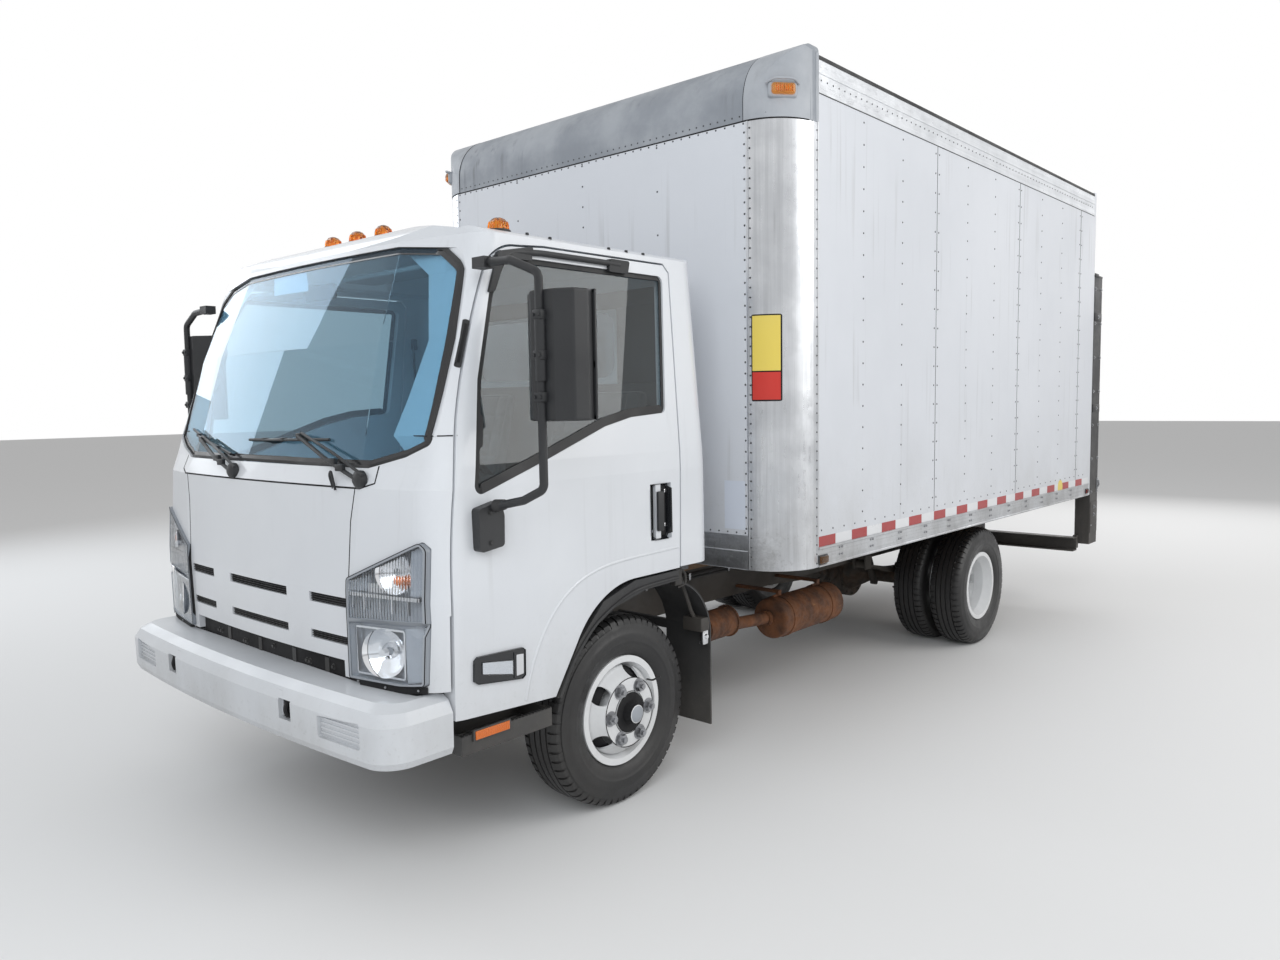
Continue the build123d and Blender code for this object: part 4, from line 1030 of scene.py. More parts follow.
def make_wiper(name, pivot, arm_end, blade):
    """A twin-bar arm from its capped pivot to a blade that lies on the glass."""
    bm = bmesh.new()
    foot = on(cab_skin, "front", *pivot, 0)
    turned(bm, [(0, 30), (8, 31), (22, 28), (28, 20), (29, 0)], foot, -Y, 28)
    foot = foot - Y * 0.022
    head = on(glass_skin, "front", *arm_end, 30)
    knee = foot.lerp(head, 0.42) - Y * 0.012
    tube(bm, [foot, knee, head], 0.0075, bend=0.05)
    shift = Vector((0.045, 0.004, 0.022))
    tube(bm, [foot + shift * 0.7, knee + shift, head + shift * 0.5], 0.0055, bend=0.05)
    for share in (0.25, 0.38):
        spot = foot.lerp(head, share) - Y * 0.008
        box(bm, spot - Vector((0.016, 0.008, 0.010)), spot + Vector((0.03, 0.008, 0.014)), 0.003)
    (a0, b0), (a1, b1) = blade
    start, middle, end = (on(glass_skin, "front", a, b, 8) for a, b in (
        (a0, b0), ((a0 + a1) / 2, (b0 + b1) / 2), (a1, b1)))
    line = [start, start.lerp(middle, 0.5) - Y * 0.003, middle - Y * 0.006,
            end.lerp(middle, 0.5) - Y * 0.003, end]
    tube(bm, line, 0.0058, bend=0.08)
    tube(bm, [p - Y * 0.010 for p in line[1:4]], 0.0045, bend=0.08)
    for p in line[1:4]:
        box(bm, p - Vector((0.012, 0.014, 0.006)), p + Vector((0.012, 0.004, 0.008)), 0.002)
    box(bm, head - Vector((0.012, 0.004, 0.010)), head + Vector((0.018, 0.022, 0.010)), 0.003)
    keep(name, bm, black_plastic, smooth=40)


def make_washer_hose():
    bm, base = bmesh.new(), on(cab_skin, "front", 548, 1368)
    tube(bm, [base + Vector(step) for step in (
        (-0.022, 0, -0.025), (-0.014, -0.02, 0.03), (0.004, -0.024, 0.046),
        (0.012, -0.014, -0.022))], 0.0045, bend=0.02)
    keep("washer_hose", bm, black_plastic)


def make_bumper_parts():
    """Tow hooks in their wells, dark as painted shade, and ribbed blanks in the fog lamp openings.
    """
    bumper_skin = skin("bumper")
    hooks, blanks = bmesh.new(), bmesh.new()
    for side in (1, -1):
        # Each hook's well is a dark block: painted shade of the recess
        blocks(hooks, [(424, -1182, 568, 492, -1128, 632)], side)
        bar(hooks, [(458, -1186, 575), (458, -1196, 598), (458, -1186, 624)], 0.009, side,
            bend=0.02)
        face = bridge(bumper_skin, [side * (650 + 26 * k) for k in range(10)], 540, 640, hold=534)
        opening = [(654, 547), (881, 547), (881, 635), (654, 621)]
        patch(blanks, seen_from(side, opening), "front", face, 3, -18, step=60)
        for b in (560, 576, 592, 608):
            rib = rectangle(658, b, 877, b + 5)
            patch(blanks, seen_from(side, rib), "front", face, 6, -16, step=60)
    keep("tow_hooks_and_well_shade", hooks, gap_and_shade_black)
    keep("fog_lamp_blanks", blanks, bumper_paint)


make_front_seams()
make_slot_backing()
for word, side in SIDES:
    make_headlamp(word, side)
make_wiper("wiper_left", (680, 1386), (268, 1526), ((-131, 1506), (439, 1514)))
make_wiper("wiper_right", (-182, 1386), (-560, 1502), ((-760, 1540), (-270, 1446)))
make_washer_hose()
make_bumper_parts()


# Cab sides: outlines are (station, height)
LAMP_SIDE = [(-828, 716), (-826, 786), (-812, 797), (-616, 790), (-604, 780), (-604, 690),
             (-618, 680), (-812, 704)]
FLARE_LINE = [(-596, 596), (-580, 668), (-548, 752), (-500, 838), (-430, 918), (-330, 982),
              (-200, 1016), (-60, 1026), (90, 1030), (244, 1034)]
ARCH_LIP = [(-436, 567), (-375, 672), (-330, 722), (-250, 800), (-138, 856), (-20, 894), (90, 902),
            (246, 906)]
WINDOW_RAIL = [(-606, 2122), (-560, 2152), (-420, 2160), (-60, 2160), (-20, 2158)]
MIRROR_BLOCK = [(-676, 2004), (-640, 2012), (-596, 2104), (-548, 2156), (-620, 2158)]


def make_door_parts(word, side):
    body = f"door_{word}"
    surface = skin(body, f"door_glass_{word}")
    out = X * side

    def sheets(outlines, thick, lift, **shape):
        return laid(outlines, word, surface, thick, lift, step=0, **shape)

    keep(f"handle_bezel_{word}",
         sheets([rectangle(74, 1077, 202, 1303)], 5, 0, radius=22, ring=12), black_gloss, body)
    # A dark sheet inside the bezel: painted shade in the handle's recess
    keep(f"handle_well_shade_{word}",
         sheets([rectangle(82, 1085, 194, 1295)], 0.8, 0.2, radius=14), gap_and_shade_black, body)
    bm = bmesh.new()
    low, high = on(surface, word, 112, 1112, 1), on(surface, word, 150, 1272, 1)
    box(bm, low, Vector((low.x + side * 0.012, high.y, high.z)), 0.005, 3)
    keep(f"handle_pull_{word}", bm, black_plastic, body)
    bm = bmesh.new()
    drum(bm, on(surface, word, 96, 1112, 1), out, 0.009, 0.004, 20, end_radius=0.008)
    for z in (1262, 1124):
        spot = on(surface, word, 178, z, 0.5)
        box(bm, spot, spot + Vector((side * 0.005, 0.010, 0.014)), 0.001)
    keep(f"handle_lock_{word}", bm, chrome, body)

    bm = sheets([LAMP_SIDE], 7, -1, radius=8)
    patch(bm, LAMP_SIDE, word, surface, 11, -1, ring=7, step=0)
    patch(bm, [(-656, 690), (-650, 690), (-650, 778), (-656, 780)], word, surface, 10, -1, step=0)
    keep(f"side_lamp_bezel_{word}", bm, black_gloss, body)
    keep(f"side_lamp_lens_{word}",
         sheets([[(-794, 733), (-660, 704), (-660, 756), (-794, 775)]], 2.5, 7.4, radius=3),
         clear_lens, body)
    bm = sheets([[(-792, 735), (-662, 707), (-662, 753), (-792, 773)]], 0.6, 6.2)
    patch(bm, [(-646, 696), (-614, 698), (-614, 768), (-646, 770)], word, surface, 3, 6,
          radius=3, step=0)
    keep(f"side_lamp_reflector_{word}", bm, chrome, body)

    # Pressed crease over the wheel arch
    bm = bmesh.new()
    crest = [on(surface, word, *p, -4.5) for p in FLARE_LINE]
    tube(bm, bend_points(crest, 0.06, 4), 0.0085, sides=12)
    keep(f"door_crease_{word}", bm, paint, body, 60)

    # The sash rail of the window, and the block that carries the mirror at its front corner
    bm = bmesh.new()
    tube(bm, [on(surface, word, *p, 11) for p in WINDOW_RAIL], 0.011, sides=12, bend=0.03)
    for y0, y1 in ((-640, -470), (-78, 30)):
        patch(bm, rectangle(y0, 2128, y1, 2176), word, surface, 24, -2, radius=8, step=0)
    patch(bm, MIRROR_BLOCK, word, surface, 14, -2, radius=6, step=0)
    keep(f"window_rail_{word}", bm, black_plastic, body, 40)


def make_side_parts(word, side):
    """The small parts beside and below the door, on the cab."""
    wall, arch = skin("cab_shell", "cab_roof"), skin("wheel_arches")
    out = X * side
    bm = bmesh.new()
    for y, z in ((-770, 1898), (-815, 1767)):
        bolt(bm, on(wall, word, y, z, 3), out, 8, 3, 8)
    patch(bm, strip([(-760, 1910), (-812, 1752)], 17), word, wall, 5, -1, radius=6, step=0)
    keep(f"pillar_vent_{word}", bm, black_plastic)
    keep(f"pillar_vent_slot_{word}",
         laid([strip([(-764, 1896), (-808, 1768)], 7)], word, wall, 5.6, -1, step=0), gap_and_shade_black)
    bm = bmesh.new()
    tube(bm, bend_points([on(arch, word, *p, 1) for p in ARCH_LIP], 0.05, 4), 0.007, sides=10)
    keep(f"arch_lip_{word}", bm, rubber, smooth=60)

    # Entry step: ribs on the tread and an amber reflector on its edge
    keep(f"step_tread_{word}",
         built([(968, y, 523, 986, y + 6, 529, 0.001, 1)
                for y in (-846 + 15.6 * k for k in range(26))]
               + [(x, -842, 469, x + 6, -462, 475, 0.001, 1) for x in range(826, 947, 20)], side),
         rubber)
    keep(f"step_reflector_holder_{word}", built([(984, -812, 500, 993, -648, 540, 0.003)], side),
         black_plastic)
    keep(f"step_reflector_{word}",
         built([(992, -804, 505, 997, -656, 535, 0.002)]
               + [(996, y, 507, 998.2, y + 5, 533, 0.0006, 1) for y in range(-800, -663, 8)],
               side), amber_shade_darkened)

    # Stay, latch and small lamp on the flap bracket behind the wheel
    bm = built([(958, 262, 862, 990, 306, 934, 0.004)], side)
    bar(bm, [(975, 290, 930), (985, 330, 915), (985, 335, 860), (970, 300, 850)], 0.006, side,
        bend=0.02)
    bar(bm, [(950, 320, 930), (935, 440, 700), (935, 500, 640)], 0.009, side, bend=0.05)
    blocks(bm, [(880, 440, 628, 985, 500, 690, 0.006)], side)
    keep(f"flap_bracket_{word}", bm, chassis_paint)
    bm = built([(962, 454, 570, 984, 492, 636, 0.005)], side)
    drum(bm, at(side * 984, 473, 606), out, 0.012, 0.008, 16, end_radius=0.009)
    keep(f"flap_lamp_{word}", bm, chrome)


def make_mirror(word, side):
    """Padded shell with glass on its rear face, clamp blocks, bolts and a rubber foot."""
    body = f"door_{word}"
    keep(f"mirror_glass_{word}", built([(1166, -603, 1762, 1380, -598, 1972, 0.004),
                                        (1166, -603, 1592, 1380, -598, 1738, 0.004)], side),
         chrome, body)
    foot, bars = bmesh.new(), built([
        (1154, -602, 1972, 1392, -594, 1984, 0.002), (1154, -602, 1738, 1392, -594, 1762, 0.002),
        (1154, -602, 1576, 1392, -594, 1592, 0.002), (1152, -602, 1576, 1166, -594, 1984, 0.002),
        (1380, -602, 1576, 1393, -594, 1984, 0.002)], side)
    for z in (1650, 1780, 1905):
        blocks(bars, [(1254, -742, z - 16, 1296, -706, z + 16, 0.005)], side)
        for x in (1262, 1288):
            drum(bars, at(side * x, -742, z), -Y, 0.006, 0.004, 6)
    drum(bars, at(side * 1275, -725, 1700), Z, 0.019, 0.19, 24)
    keep(f"mirror_frame_{word}", bars, black_plastic, body)
    drum(foot, at(side * 1068, -750, 1297), Vector((side, 0.1, 0.18)), 0.022, 0.04, 24,
         end_radius=0.017)
    for x, y, z in ((1060, -768, 1176), (1060, -768, 1276), (1048, -733, 2080), (1048, -733, 2100)):
        bolt(foot, at(side * x, y, z), X * side, 14, 4, washer=18)
    keep(f"mirror_foot_{word}", foot, rubber, body)


def make_roof_lamps():
    """Amber domes on black bases, turned, with ribbed sides."""
    roof = skin("cab_roof")
    domes, bases = bmesh.new(), bmesh.new()
    for x, y, size in ((-187, -556, 1.0), (0, -556, 1.0), (187, -556, 1.0), (850, -525, 1.1),
                       (-850, -525, 1.1)):
        spot = on(roof, "top", x, y, 0)
        turned(bases, [(-8, 0), (-8, 40 * size), (6, 40 * size), (9, 37 * size), (9, 0)], spot, Z,
               36)
        turned(domes, [(8, 34 * size), (22, 33 * size), (36, 29 * size), (46, 21 * size),
                       (51, 10 * size), (52, 0)], spot, Z, 36)
        for k in range(24):
            way = spoke(math.tau * k / 24, X, Y)
            foot = spot + way * 0.0345 * size + Z * 0.009
            tube(domes, [foot, foot + Z * 0.014 - way * 0.001, foot + Z * 0.027 - way * 0.0045],
                 0.0012, sides=4)
    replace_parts(keep("roof_lamp_domes", domes, amber_lens, smooth=40), "marker_lamps")
    keep("roof_lamp_bases", bases, black_plastic)
    bm = bmesh.new()
    for side, (x, y) in product((1, -1), ((905, -440), (916, -340), (925, -40), (925, 60),
                                          (925, 160))):
        bolt(bm, on(roof, "top", side * x, y, -1), Z, 14, 8, 10)
    keep("roof_edge_screws", bm, black_plastic)


for word, side in SIDES:
    make_door_parts(word, side)
    make_side_parts(word, side)
    make_mirror(word, side)
make_roof_lamps()


# Freight box
BOX_SIDE = 1225
POST_PITCH = 406.4
FIRST_POST = 1419.5
SILL_PITCH = 304.8
FIRST_SILL = 1206
BOX_END = 4981
CASTING = [(1002, 2851), (1224, 2851), (1224, 3150), (1196, 3178), (1012, 3178), (1002, 3120)]
CASTING_SEAM = [(998, 2846), (1002, 2846), (1002, 3120), (1012, 3178), (1006, 3179), (998, 3122)]


def rivet(bm, spot, out, radius=6.0, height=2.6):
    """A low domed head of a few faces."""
    turn = turn_to(out)
    rings = []
    for r, h in ((radius, -0.4), (radius * 0.72, height * 0.72)):
        rings.append([bm.verts.new(spot + turn @ Vector((math.cos(a) * r, math.sin(a) * r, h)) * MM)
                      for a in (math.tau * k / 6 for k in range(6))])
    top = bm.verts.new(spot + turn @ Vector((0, 0, height)) * MM)
    for k in range(6):
        n = (k + 1) % 6
        bm.faces.new((rings[0][k], rings[0][n], rings[1][n], rings[1][k]))
        bm.faces.new((rings[1][k], rings[1][n], top))


def make_side_rivets(word, side):
    """Columns on the inner posts, double at the sheet joints, and rows along both rails."""
    out = X * side
    rivets, joints, bolts = bmesh.new(), bmesh.new(), bmesh.new()
    for i in range(9):
        y = FIRST_POST + POST_PITCH * i
        double = i % 3 == 2
        for column, k in product((y - 22, y + 22) if double else (y,), range(19)):
            rivet(rivets, at(side * BOX_SIDE, column, 1080 + 103 * k), out, 5.5)
        if double:
            blocks(joints, [(BOX_SIDE - 1, y - 1.2, 1003, BOX_SIDE + 1.4, y + 1.2, 2978)], side)
    for k in range(38):
        y = 1035 + 103 * k
        rivet(rivets, at(side * BOX_SIDE, y, 1029), out, 5.0)
        rivet(rivets, at(side * BOX_SIDE, y + 50, 2990), out, 5.0)
    keep(f"side_rivets_{word}", rivets, rivet_dark, smooth=50)
    keep(f"sheet_joints_{word}", joints, rivet_dark)

    # Bottom rail: sill bolts in two rows
    for i in range(12):
        y = FIRST_SILL + SILL_PITCH * i
        for column, z in product((y - 12, y + 12), (899, 932)):
            bolt(bolts, at(side * (BOX_SIDE + 3), column, z), out, 12, 4, 8)
    keep(f"rail_bolts_{word}", bolts, zinc)


def make_tape():
    """Red and white bands above the bottom rail."""
    red, white = bmesh.new(), bmesh.new()
    for side in (1, -1):
        y, red_next = 1010.0, True
        while y < BOX_END - 40:
            length = 150 if red_next else 154
            end = min(y + length, BOX_END - 6)
            blocks(red if red_next else white,
                   [(BOX_SIDE - 0.5, y, 953.6, BOX_SIDE + 0.8, end, 1001)], side)
            y, red_next = y + length + 0.6, not red_next
    keep("tape_red", red, tape_red)
    keep("tape_white", white, tape_white)


def make_front_wall_parts():
    wall = skin("box_front_wall", "corner_posts", "nose_cap")
    dots = bmesh.new()
    for x, pitch in ((-1004, 50), (-500, 203), (0, 101.6), (500, 203), (1004, 50)):
        z = 1000.0
        while z < 2846:
            rivet(dots, on(wall, "front", x, z), -Y, 5.5)
            z += pitch
    for k, z in product(range(41), (2838, 1030)):
        rivet(dots, on(wall, "front", -1000 + 50 * k, z), -Y, 5.0)
    keep("front_wall_rivets", dots, rivet_dark, smooth=50)

    # Joint flanges of the quarter-round posts, and rivets along both of their edges
    bm, dots = bmesh.new(), bmesh.new()
    for side in (1, -1):
        blocks(bm, [(1014, 749, 862, 1024, 754, 2846, 0.001, 1),
                    (1222, 996, 862, 1227.5, 1009, 3000, 0.001, 1)], side)
        for k in range(46):
            z = 880 + 43 * k
            rivet(dots, at(side * 1225.5, 994, z), X * side, 4.5)
            rivet(dots, at(side * 1031, 752.5, z), -Y, 4.5)
    keep("post_flanges", bm, post_metal)
    keep("post_rivets", dots, rivet_dark, smooth=50)

    # Dark lower rails round the front, then the seam of the round nose and its rivets
    for z0, z1 in ((864, 944), (950, 1019)):
        keep(f"front_rail_{z0}",
             laid([rectangle(-1150, z0, 1150, z1)], "front", wall, 2.5, step=24), rail_metal,
             smooth=25)
    keep("nose_seam", laid([rectangle(-1120, 2845, 1120, 2851)], "front", wall, 1.2, step=24),
         gap_and_shade_black)
    dots = bmesh.new()
    for k in range(56):
        rivet(dots, on(wall, "front", -1100 + 40 * k, 2872), -Y, 4.5)
    keep("nose_rivets", dots, rivet_dark, smooth=50)


def make_corner_lamps():
    """Hooded amber lamps on the cap's corners, and amber and red side markers."""
    cap = skin("nose_cap", "corner_posts")
    hoods, lenses = bmesh.new(), bmesh.new()
    half_rib = Vector((0.0010, 0.0010, 0.015))
    for side in (1, -1):
        out, across = Vector((side * 0.77, -0.64, 0)), Vector((side * 0.64, 0.77, 0))
        centre = on(cap, "front", side * 1158, 2964) - out * 0.012
        turn = Matrix((-across * side, out, Z)).transposed().to_4x4()
        for bm, size, push, bevel in ((hoods, (0.128, 0.030, 0.068), 0.010, 0.012),
                                      (lenses, (0.106, 0.030, 0.048), 0.028, 0.013)):
            place = Matrix.Translation(centre + out * push) @ turn @ Matrix.Diagonal((*size, 1))
            rounded_cube(bm, place, bevel, 4)
        tube(hoods, [centre + out * ahead + across * aside + Z * up for ahead, aside, up in (
            (0.012, -0.074, 0.026), (0.040, -0.045, 0.040), (0.040, 0.045, 0.040),
            (0.012, 0.074, 0.026))], 0.0055, bend=0.03)
        for k in range(9):
            spot = centre + out * 0.0432 + across * (-0.036 + 0.009 * k)
            box(lenses, spot - half_rib, spot + half_rib)
    keep("corner_lamp_hoods", hoods, corner_paint)
    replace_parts(keep("corner_lamp_lenses", lenses, amber_lens), "marker_lamps")
    amber, red, bezel = bmesh.new(), bmesh.new(), bmesh.new()
    for side in (1, -1):
        blocks(bezel, [(1228, 1004, 872, 1233, 1080, 916, 0.002),
                       (1228, 4906, 878, 1233, 4972, 916, 0.002)], side)
        blocks(amber, [(1232, 1010, 878, 1243, 1074, 910, 0.004, 3)], side)
        blocks(red, [(1232, 4912, 883, 1241, 4966, 911, 0.004, 3)], side)
    keep("side_lamp_seats", bezel, black_plastic)
    keep("side_marker_front", amber, amber_lens)
    keep("side_marker_rear", red, red_lens)


def make_sign():
    """A blank two-colour sheet on the left post, with a dark edge."""
    post = skin("corner_posts")
    for name, outline, material, thick, lift, radius in (
            ("edge", rectangle(1036, 1625, 1156, 2008), gap_and_shade_black, 1.2, 0.6, 8),
            ("upper", rectangle(1041, 1760, 1151, 2002), yellow_sheet, 0.8, 1.6, 0),
            ("lower", rectangle(1041, 1632, 1151, 1754), red_sheet, 0.8, 1.6, 0)):
        keep(f"sign_{name}",
             laid([outline], "front", post, thick, lift, radius=radius, step=14), material,
             smooth=25)


def make_corner_castings():
    """Cast corners of the nose, raised over the sheet between them, with their seams."""
    cap, foot = skin("nose_cap"), skin("nose_cap", "corner_posts")
    bm, seam = bmesh.new(), bmesh.new()
    for side in (1, -1):
        patch(bm, seen_from(side, CASTING), "front", cap, 2.2, 0.5, step=5)
        blocks(bm, [(1222, 984, 2851, 1227.6, 1007, 3146, 0.001, 1)], side)
        patch(seam, seen_from(side, CASTING_SEAM), "front", cap, 1.4, 0.5, step=8)
        patch(seam, seen_from(side, rectangle(1000, 2845, 1224, 2851)), "front", foot, 1.4, 0.5,
              step=5)
    keep("nose_corner_castings", bm, corner_paint, smooth=40)
    keep("nose_corner_seams", seam, gap_and_shade_black)


def make_blank_sheets():
    """The blank label on the front wall and a blank round sticker on the left bottom rail."""
    keep("blank_label",
         laid([rectangle(884, 1044, 1000, 1266)], "front", skin("box_front_wall"), 0.6, 0.4),
         paper)
    bm = bmesh.new()
    drum(bm, at(BOX_SIDE, 4333, 975), X, 0.050, 0.0016, 36)
    keep("blank_sticker", bm, yellow_sheet)


def make_top_edge(word, side):
    """The lapped lower edge of the top rail, its dark upper band and its rivets."""
    keep(f"top_rail_lap_{word}", built([(1222, 1006, 2979, 1228.5, 4981, 3002, 0.001, 1),
                                        (1224, 1008, 3062, 1227, 4981, 3068, 0.001, 1)], side),
         rail_metal)
    keep(f"top_rail_shadow_line_{word}", built([(1221, 1010, 3122, 1226.6, 4981, 3140, 0.001, 1),
                                                (1222, 1006, 2976, 1226.6, 4981, 2979.5)], side),
         rubber)
    dots = bmesh.new()
    for k in range(76):
        rivet(dots, at(side * BOX_SIDE, 1030 + 52 * k, 3036), X * side, 4.5)
    keep(f"top_rail_rivets_{word}", dots, rivet_dark, smooth=50)


for word, side in SIDES:
    make_side_rivets(word, side)
make_tape()
make_front_wall_parts()
make_corner_lamps()
make_sign()
make_corner_castings()
make_blank_sheets()
for word, side in SIDES:
    make_top_edge(word, side)


# Rear of the box
REAR = 5026
DOOR_FACE, DOOR_FOOT, DOOR_HEAD = 5011, 985, 2900
HINGES = (-1090, -545, 0, 545, 1090)


def make_rear_door():
    """Rivets along each panel's edges, hinge leaves, lock bar, pull strap and seals."""
    face, foot, head = DOOR_FACE, DOOR_FOOT, DOOR_HEAD
    pitch = (head - foot) / 5
    dots, leaves, lock, seal = (bmesh.new() for _ in range(4))
    for i in range(5):
        low, high = foot + i * pitch, foot + (i + 1) * pitch
        for x, dx, z in product(HINGES, (-18, 18), (low + 34, low + 62, high - 62, high - 34)):
            rivet(dots, at(x + dx, face, z), Y, 5.5)
    for i in range(1, 5):
        z = foot + i * pitch
        for x in HINGES:
            blocks(leaves, [(x - 34, face - 1, z + 8, x + 34, face + 2, z + 46, 0.001, 1),
                            (x - 34, face - 1, z - 46, x + 34, face + 2, z - 8, 0.001, 1)])
            drum(leaves, at(x - 34, face - 3, z), X, 0.0045, 0.068, 10)
        blocks(seal, [(-1132, face - 6, z - 3, 1132, face - 4, z + 3)])
    blocks(seal, [(-1134, face - 1, foot + 1, 1134, face + 6, foot + 16, 0.003),
                  (-1140, face + 1, foot, -1126, face + 9, head, 0.003),
                  (1126, face + 1, foot, 1140, face + 9, head, 0.003),
                  (-1134, face + 1, head - 12, 1134, face + 10, head + 4, 0.003)])
    # Lock: plate, swinging handle on a boss, keeper and a hasp with its slot
    blocks(lock, [(-70, face - 1, 1035, 70, face + 3, 1150, 0.002)])
    turned(lock, [(3, 26), (9, 25), (11, 18), (11, 0)], at(0, face, 1095), Y, 28)
    bar(lock, [(0, face + 10, 1095), (0, face + 14, 1060), (0, face + 8, 1010),
               (0, face + 6, 990)], 0.007, bend=0.02)
    bar(lock, [(-60, face + 6, 1070), (-66, face + 13, 1095), (-60, face + 6, 1125)], 0.005,
        bend=0.02)
    blocks(lock, [(-26, face - 1, 987, 26, face + 12, 999, 0.002)])
    for x in (-420, 420):
        blocks(lock, [(x - 60, face - 1, 1020, x + 60, face + 2, 1032, 0.001, 1)])
        bar(lock, [(x - 50, face + 2, 1026), (x - 46, face + 13, 1040), (x + 46, face + 13, 1040),
                   (x + 50, face + 2, 1026)], 0.005, bend=0.012)
    for x, z in product((-56, 56), (1046, 1138)):
        bolt(lock, at(x, face + 3, z), Y, 11, 3, 12)
    keep("rear_door_rivets", dots, rivet_dark, smooth=50)
    keep("rear_door_hinges", leaves, zinc)
    keep("rear_door_seals", seal, rubber)
    keep("rear_door_lock", lock, zinc)
    keep("rear_pull_strap", built([
        (-330, face + 3, 940, -296, face + 5.4, 1010, 0.0006, 1),
        (-330, face + 12, 905, -296, face + 14.4, 940, 0.0006, 1),
        (-330, face + 6, 900, -296, face + 8.4, 905, 0.0006, 1)]), rubber)


def make_rear_frame_parts():
    """Lamps with bezels and ribbed lenses, header markers, tape, bolts and a blank plate."""
    bezels, reds, clears, tapes, whites, header = (bmesh.new() for _ in range(6))
    for side in (1, -1):
        for x0, x1, bm in ((900, 966, reds), (974, 1040, reds), (826, 892, clears)):
            blocks(bezels, [(x0 - 3, REAR - 1, 885, x1 + 3, REAR + 7, 951, 0.004)], side)
            blocks(bm, [(x0 + 2, REAR + 2, 889, x1 - 2, REAR + 13.5, 947, 0.006, 3)], side)
            for z in range(898, 939, 10):
                blocks(bm, [(x0 + 8, REAR + 12, z, x1 - 8, REAR + 14, z + 4, 0.0006, 1)], side)
        blocks(whites, [(1060, REAR - 1, 3098, 1215, REAR + 0.8, 3136),
                        (1177, REAR - 1, 2960, 1215, REAR + 0.8, 3097)], side)
        for z in range(1020, 2900, 235):
            bolt(bezels, at(side * 1146, REAR - 1, z), Y, 15, 5, 6, washer=24)
    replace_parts(keep("tail_lamp_lenses", reds, red_lens), "marker_lamps")
    keep("reverse_lamp_lenses", clears, clear_lens)
    for x in (-200, 0, 200):
        blocks(bezels, [(x - 34, REAR - 1, 2996, x + 34, REAR + 5, 3034, 0.004)])
        blocks(header, [(x - 29, REAR + 2, 3001, x + 29, REAR + 13.5, 3029, 0.006, 3)])
        blocks(header, [(x - 24 + 8.6 * k, REAR + 12, 3004, x - 20 + 8.6 * k, REAR + 14, 3026,
                         0.0005, 1) for k in range(6)])
    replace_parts(keep("header_lamp_lenses", header, red_lens), "marker_lamps")
    for k in range(10):
        x = -760 + 152 * k
        blocks(whites if k % 2 else tapes, [(x, REAR - 1, 893, x + 151, REAR + 0.8, 943)])
    keep("rear_lamp_bezels", bezels, black_plastic)
    keep("rear_tape_red", tapes, tape_red)
    keep("rear_tape_white", whites, tape_white)
    keep("blank_plate", built([(-452, REAR - 6, 702, -148, REAR - 4, 854, 0.0006, 1)]), paper)
    holder = built([(-460, REAR - 11, 694, -140, REAR - 6, 862, 0.001, 1)])
    for x, z in product((-446, -154), (712, 844)):
        bolt(holder, at(x, REAR - 4, z), Y, 9, 3, 6)
    blocks(holder, [(x, REAR - 18, 820, x + 30, REAR - 11, 900, 0.001, 1) for x in (-400, -230)])
    keep("plate_holder", holder, black_plastic)


def make_guard_parts():
    """Banded tape and end bolts on the bar under the tail."""
    red, white, bolts = bmesh.new(), bmesh.new(), bmesh.new()
    for k in range(12):
        x = -912 + 152 * k
        blocks(red if k % 2 else white, [(x, 4989, 452, x + 151, 4991, 503)])
    for side in (1, -1):
        for x, z in product((380, 410, 1075), (446, 508)):
            bolt(bolts, at(side * x, 4990, z), Y, 17, 8, 6, washer=28)
        for x in (1124, 1146):
            bolt(bolts, at(side * x, 5026, 506), Y, 17, 0.5, 6)
    keep("guard_tape_red", red, tape_red)
    keep("guard_tape_white", white, tape_white)
    keep("guard_bolts", bolts, zinc)


def make_column_parts():
    """Caps, cover strips and bolts of both rail columns, the sheave guards and a switch box."""
    caps, bolts = bmesh.new(), bmesh.new()
    for side in (1, -1):
        out = X * side
        blocks(caps, [(1116, 5022, 2528, 1232, 5210, 2546, 0.005),
                      (1180, 5060, 2540, 1218, 5176, 2566, 0.012, 3),
                      (1226, 5034, 560, 1233, 5202, 800, 0.003),
                      (1226, 5034, 1500, 1233, 5202, 1560, 0.003),
                      (1226, 5034, 2200, 1233, 5202, 2260, 0.003)], side)
        for z, y in product(range(620, 2500, 260), (5050, 5186)):
            bolt(bolts, at(side * 1227, y, z), out, 17, 7, 6, washer=28)
        for z in (700, 760, 1530, 2230):
            bolt(bolts, at(side * 1232, 5118, z), out, 19, 8, 6, washer=30)
        blocks(caps, [(1150, 5018, z - 40, 1215, 5030, z + 40, 0.003)
                      for z in range(900, 2500, 400)], side)
    keep("lift_column_plates", caps, lift_paint)
    keep("lift_column_bolts", bolts, zinc)
    control = built([(-1262, 5064, 1290, -1226, 5154, 1440, 0.008, 3)])
    drum(control, at(-1262, 5109, 1395), -X, 0.018, 0.008, 24)
    bar(control, [(-1266, 5109, 1395), (-1284, 5109, 1404)], 0.005)
    blocks(control, [(-1268, 5086, 1312, -1261, 5132, 1356, 0.004)])
    bar(control, [(-1244, 5109, 1292), (-1244, 5109, 1180), (-1238, 5109, 900),
                  (-1236, 5109, 640)], 0.006, bend=0.04)
    keep("lift_switch_box", control, black_plastic)
    hook = bmesh.new()
    bar(hook, [(1230, 5196, 905), (1244, 5200, 925), (1240, 5200, 962), (1230, 5196, 968)],
        0.006, bend=0.015)
    blocks(hook, [(1227, 5182, 890, 1234, 5208, 984, 0.003)])
    keep("lift_safety_hook", hook, zinc)


